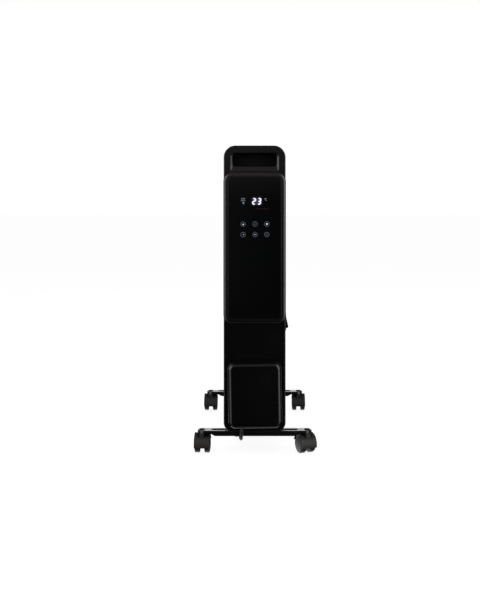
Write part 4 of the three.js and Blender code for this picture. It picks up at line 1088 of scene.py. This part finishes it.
stations = [(LIP_LOW + d, d) for d in LIP_NARROWS] + [(LIP_HIGH - d, d) for d in LIP_NARROWS[::-1]]
lips = [skinned([lip_loop(side, *station) for station in stations]) for side in (-1, 1)]
one_fin = as_object("fin_row", joined(fin_shape, *lips))
print("one fin", len(one_fin.data.polygons), "faces")

# %% Nine fins, their spot welds and headers
fin_row = grown(one_fin, in_a_row, fin_paint, Count=FIN_COUNT, Step=mm(0, PITCH, 0), Start=at(0, FIRST, 0))
dressed(smoothed(fin_row, 40), fin_paint, [f"fin_{i + 1}" for i in range(FIN_COUNT)])

WELD_PROFILE = [(0, 0), (2.8, 0), (2.4, 0.4), (1.9, 0.55), (1.4, 0.3), (0, 0.15)]
WELD_X, WELD_COUNT, WELD_STEP, WELDS_LOW = 57.2, 17, 30, 40
for name, side in SIDES.items():
    on_edge = at(side * WELD_X, FIRST + (FIN_COUNT - 1) * PITCH + SHEET / 2, 0)
    weld = as_object(f"welds_{name}", moved(turned(WELD_PROFILE, 16), on_edge, ALONG_Y))
    places = {"Count": WELD_COUNT, "Step": mm(0, 0, WELD_STEP), "Start": mm(0, 0, FIN_LOW + WELDS_LOW)}
    dressed(smoothed(grown(weld, in_a_row, fin_paint, **places)), fin_paint)

HEADER_FRONT, HEADER_BACK = 13.5, 10.5  # past the middles of the first and last fins
end = HEADER_FRONT + LAST - FIRST + HEADER_BACK
tube_profile = [(0, 40), (18, 40), (18, 0), (25.4, 0), (26, 0.6)]
for i in range(FIN_COUNT - 1):
    seam = HEADER_FRONT + PITCH * (i + 0.5)
    tube_profile += [(26, seam - 1.6), (26.9, seam - 0.9), (26.9, seam + 0.9), (26, seam + 1.6)]
tube_profile += [(26, end - 3), (25.4, end - 1.2), (23.5, end - 0.2), (20, end), (0, end)]
for name, height, profile in (
    ("lower_header", CHAMBER_LOW + HEADER_TALL / 2, tube_profile),
    ("upper_header", CHAMBER_HIGH - HEADER_TALL / 2, [(0, 0), *tube_profile[3:]]),  # without the bore
):
    header = moved(turned(profile, 40), at(0, FIRST - HEADER_FRONT, height), ALONG_Y)
    dressed(smoothed(as_object(name, header), 50), fin_paint)
print("fins", len(fin_row.data.polygons), "faces")

# %% [markdown]
# ## Foot rails
#
# Each rail is a flat steel strip with round ends and a folded skirt. Two long grooves stiffen it,
# the skirt is cut away over the castors, and it is painted in gloss black, so seen at a low angle
# it mirrors the white room.

# %% Foot rails
RAIL_SHEET, RAIL_ROUND, SKIRT, SKIRT_END = 1.8, 1.2, 11.5, 6.0
GROOVE_X, TUB, TUB_DEEP = 77, stadium(18.8, 8.8), 4.8  # the tub under the sheet that holds a groove
GROOVE = [(-3, 16.2, 6.4), (-2.3, 17, 7.2), (-0.4, 17, 7.2), (0.1, 17.5, 7.7), (1, 17.5, 7.7)]
WEDGE_FROM, WEDGE_RUN, WEDGE_END = 28.5, 10.5, 200  # inwards of the stem, its slope, past the end
STEM_HOLE, BOLT_HOLE = 3.2, 3.3
stem_x = joints["swivel_front_right"]["pos_m"][0] / MM
for node, bolt in (("front_foot", "front_foot_bolt_right"), ("rear_foot", "rear_wing_nut_right")):
    (left, front, _), (right, back, top) = reach(node)
    half_length, half_width, depth = (right - left) / 2, (back - front) / 2, (front + back) / 2
    bottom = top - SKIRT
    sections = [(bottom, stadium(half_length, half_width))]
    for below, inset in reversed(rounded_edge(RAIL_ROUND, 5)):
        sections.append((top - below, stadium(half_length - inset, half_width - inset)))
    rail = as_object(node + "_finish", flat(sections, 0, depth))
    inside = stadium(half_length - RAIL_SHEET, half_width - RAIL_SHEET)
    carved(rail, flat([(bottom - 1, inside), (top - RAIL_SHEET, inside)], 0, depth))
    for side in (-1, 1):
        x = side * GROOVE_X
        carved(rail, flat([(top - TUB_DEEP, TUB), (top - 0.5, TUB)], x, depth), operation="UNION")
        groove = flat([(top + z, stadium(length, width)) for z, length, width in GROOVE], x, depth)
        start = stem_x - WEDGE_FROM
        wedge = [
            (start, bottom - 2), (start, bottom), (start + WEDGE_RUN, top - SKIRT_END),
            (WEDGE_END, top - SKIRT_END), (WEDGE_END, bottom - 2),
        ]
        holes = [
            moved(rod(radius, -5, 5, 24), at(side * away, depth, top))
            for away, radius in ((stem_x, STEM_HOLE), (centre(bolt)[0], BOLT_HOLE))
        ]
        carved(rail, groove, prism([(side * u, z) for u, z in wedge], depth - 30, depth + 30), *holes)
    dressed(softened(rail, 0.3), rail_paint, [node])
    print(node, len(rail.data.polygons), "faces")

# %% [markdown]
# ## Castors
#
# A castor is a moulded hood with a wheel on each side of its web. The hood is a thick arc over the
# wheels, which comes down lower on the stem's side, with a round notch cut about its neck. It is
# made by cutting and joining simple solids. The wheels are turned shapes with a slightly domed
# disc. Each castor is made round its stem and then turned to where the CAD model has it.

# %% Hood and wheels
WHEEL_R, TRAIL = 20.0, 9.0
HOOD_SIDE, HOOD_WEB = 16.6, 5.0
AXLE = mm(0, TRAIL, WHEEL_R)
NOTCH = [(0, 34), (9.4, 34), (10.4, 35), (10.4, 52), (0, 52)]
NECK = [(0, 41.4), (6.8, 41.4), (6.8, 46.9), (5.8, 49.9), (0, 49.9)]
WHEEL_PROFILE = [
    (0, 17.3), (2.6, 17.3), (3, 16.9), (3.6, 16.9), (4, 17.25), (8, 17.15), (12, 16.9), (15.5, 16.55),
    (17.4, 16.2), (17.8, 15.8), (18.2, 15.8), (18.6, 16), (19.4, 15.4), (20, 14.6), (20, 11.6),
    (19.75, 11.3), (19.75, 10.7), (20, 10.4), (20, 6.8), (19.6, 6), (18.8, 5.6), (9, 5.6), (8.4, 6.3),
    (5.6, 6.3), (5, 5.6), (2.8, 5.6), (2.8, 13.3), (0, 13.3),
]


def arc_slab(inner, outer, start, end, half):
    """A slab between two radii round the axle, from one angle to another, half wide each way."""
    points = arc(TRAIL, WHEEL_R, outer, start, end, 40)
    if inner:
        points += reversed(arc(TRAIL, WHEEL_R, inner, start, end, 40))
    return skinned([[mm(x, y, z) for y, z in points] for x in (-half, half)])


def castor_hood(name, turn):
    hood = as_object(name, arc_slab(21, 23, 15, 197, HOOD_SIDE))
    carved(hood, arc_slab(0, 22, -30, 197, HOOD_WEB), operation="UNION")
    carved(hood, turned(NOTCH, 32))
    carved(hood, block(mm(-5, -6.8, 28), mm(5, 6.8, 42.4)), operation="UNION")
    carved(hood, turned(NECK, 32), operation="UNION")
    carved(hood, rod(3.2, 32.7, 52), moved(rod(2.8, -18, 18), AXLE, ALONG_X))
    softened(hood, 0.6, 3)
    hood.data.transform(turn)
    return hood


for corner in CORNERS:
    stem = joints[f"swivel_{corner}"]["pos_m"]
    axis = joints[f"roll_{corner}_a"]["axis"]
    turn = Matrix.Rotation(math.atan2(axis[1], axis[0]), 4, "Z")
    turn = Matrix.Translation((stem[0], stem[1], 0)) @ turn
    hood = castor_hood(f"castor_hood_{corner}_finish", turn)
    dressed(hood, matte_plastic, [f"castor_hood_{corner}"], f"castor_{corner}")
    for letter, side in (("a", -1), ("b", 1)):
        name = f"wheel_{corner}_{letter}"
        shape = moved(turned([(r, side * x) for r, x in WHEEL_PROFILE], 56), AXLE, ALONG_X)
        wheel = as_object(name + "_finish", shape)
        wheel.data.transform(turn)
        dressed(smoothed(wheel, 40), wheel_plastic, [name], name)
print("castor hood", len(hood.data.polygons), "faces; wheel", len(wheel.data.polygons))

# %% [markdown]
# ## Plug
#
# The plug lies on the floor beside the coil. It is a turned moulding with two round pins. The
# grooves of its finger grip repeat round the axis, so a second tree turns copies of one cutter
# about a line, and a Boolean takes them all out at once.

# %% A tree for things round an axis
round_an_axis, start = tree_of("turn", ("Count", "NodeSocketInt", 12))
count = start.out("Count")
still = round_an_axis.add("GeometryNodeMeshLine", {"Count": count, "Offset": (0, 0, 0)}, mode="OFFSET")
share = round_an_axis.add("GeometryNodeInputIndex") / count
angles = round_an_axis.add("ShaderNodeCombineXYZ", {"Z": share * (2 * math.pi)})
tree_end(round_an_axis, start, still, Rotation=angles)

# %% Plug
PLUG_PROFILE = [
    (0, 0), (4.4, 0), (4.6, 0.4),
    *ribs(4.65, 0.14, 2.2, 3.1, [(0, 0), (-0.6, 0.3), (-0.55, 1.3), (0.1, 1.6)]),
    (5.6, 22), (7.5, 22.9), (13, 27), (16.8, 31.5), (18.6, 36), (19.1, 41), (19.1, 46), (19.1, 57),
    (18.7, 58.6), (17.6, 59.6), (16.5, 60), (0, 60),
]
GRIP_CUTTER, GRIP_X, GRIP_COUNT = [(0, 42), (0.9, 42.6), (0.9, 55.4), (0, 56)], 19.3, 28
PIN_PROFILE, PIN_Z = [(0, 58), (2.4, 58), (2.4, 76), (2.1, 77.8), (1.3, 78.8), (0, 79)], 9.5
plug_x, plug_depth, plug_z = PLUG_ENTRY
plug = as_object("plug_finish", moved(turned(PLUG_PROFILE, 48), at(*PLUG_ENTRY), ALONG_Y))
cutter = as_object("grooves", moved(turned(GRIP_CUTTER, 8), mm(GRIP_X, 0, 0)))
grooves = grown(cutter, round_an_axis, cord_rubber, Count=GRIP_COUNT)
grooves.data.transform(Matrix.Translation(at(*PLUG_ENTRY)) @ ALONG_Y)
carved(plug, grooves)
SLIT_AWAY, SLIT_DEEP, SLIT_HALF, SLIT_FROM, SLIT_TO = 19, 2, 2.5, 42, 62  # slits in the plug's sides
for side in (-1, 1):
    x = plug_x + side * SLIT_AWAY
    low = at(x - SLIT_DEEP, plug_depth + SLIT_FROM, plug_z - SLIT_HALF)
    carved(plug, block(low, at(x + SLIT_DEEP, plug_depth + SLIT_TO, plug_z + SLIT_HALF)))
dressed(softened(plug, 0.3, 2, 40), cord_rubber, ["plug"])
pin_places = [at(plug_x, plug_depth, plug_z + side * PIN_Z) for side in (-1, 1)]
two_pins = joined(*(moved(turned(PIN_PROFILE, 20), place, ALONG_Y) for place in pin_places))
pins = dressed(smoothed(as_object("plug_pins", two_pins)), brass)
print("plug", len(plug.data.polygons), "faces")

# %% [markdown]
# ## The remaining solids
#
# The rocker, its housing, the bolts and nuts and the sheet metal behind the cover already have the
# right shape, and so do the castors' stems. A copy of each is welded, and its edges are rounded.
# What is hidden inside, and the castors' axles, stay as the CAD made them and only get a material.

# %% Rounded copies and kept nodes
rounded = {
    "switch_housing": (0.3, inner_plastic), "switch_rocker": (0.4, satin_plastic),
    "chassis_plate": (0.25, zinc_steel), "heat_shield": (0.2, aluminium), "rear_u_bolt": (0.2, zinc_steel),
}
rounded |= {f"castor_stem_{corner}": (0.3, inner_plastic) for corner in CORNERS}
for side in SIDES:
    for node in ("front_foot_bolt", "front_wing_nut", "rear_wing_nut"):
        rounded[f"{node}_{side}"] = (0.3, zinc_steel)
for node, (width, material) in rounded.items():
    dressed(copy_of(node, width), material, [node], carrier[node])

kept = {
    "display_board": board_green, "power_board": board_green, "element_flange": brass,
    "element_gasket": cord_rubber, "heating_element": zinc_steel, "thermal_cutout": insulator,
    "tilt_switch": inner_plastic, "terminal_block": insulator, "room_sensor": insulator,
}
kept |= {f"castor_axle_{corner}": zinc_steel for corner in CORNERS}
for node, material in kept.items():
    piece = frame["nodes"][node]
    piece.data.materials.clear()
    piece.data.materials.append(material)
print("copies", len(rounded), "kept", len(kept))

at(*LEAD_ROUTE[0])
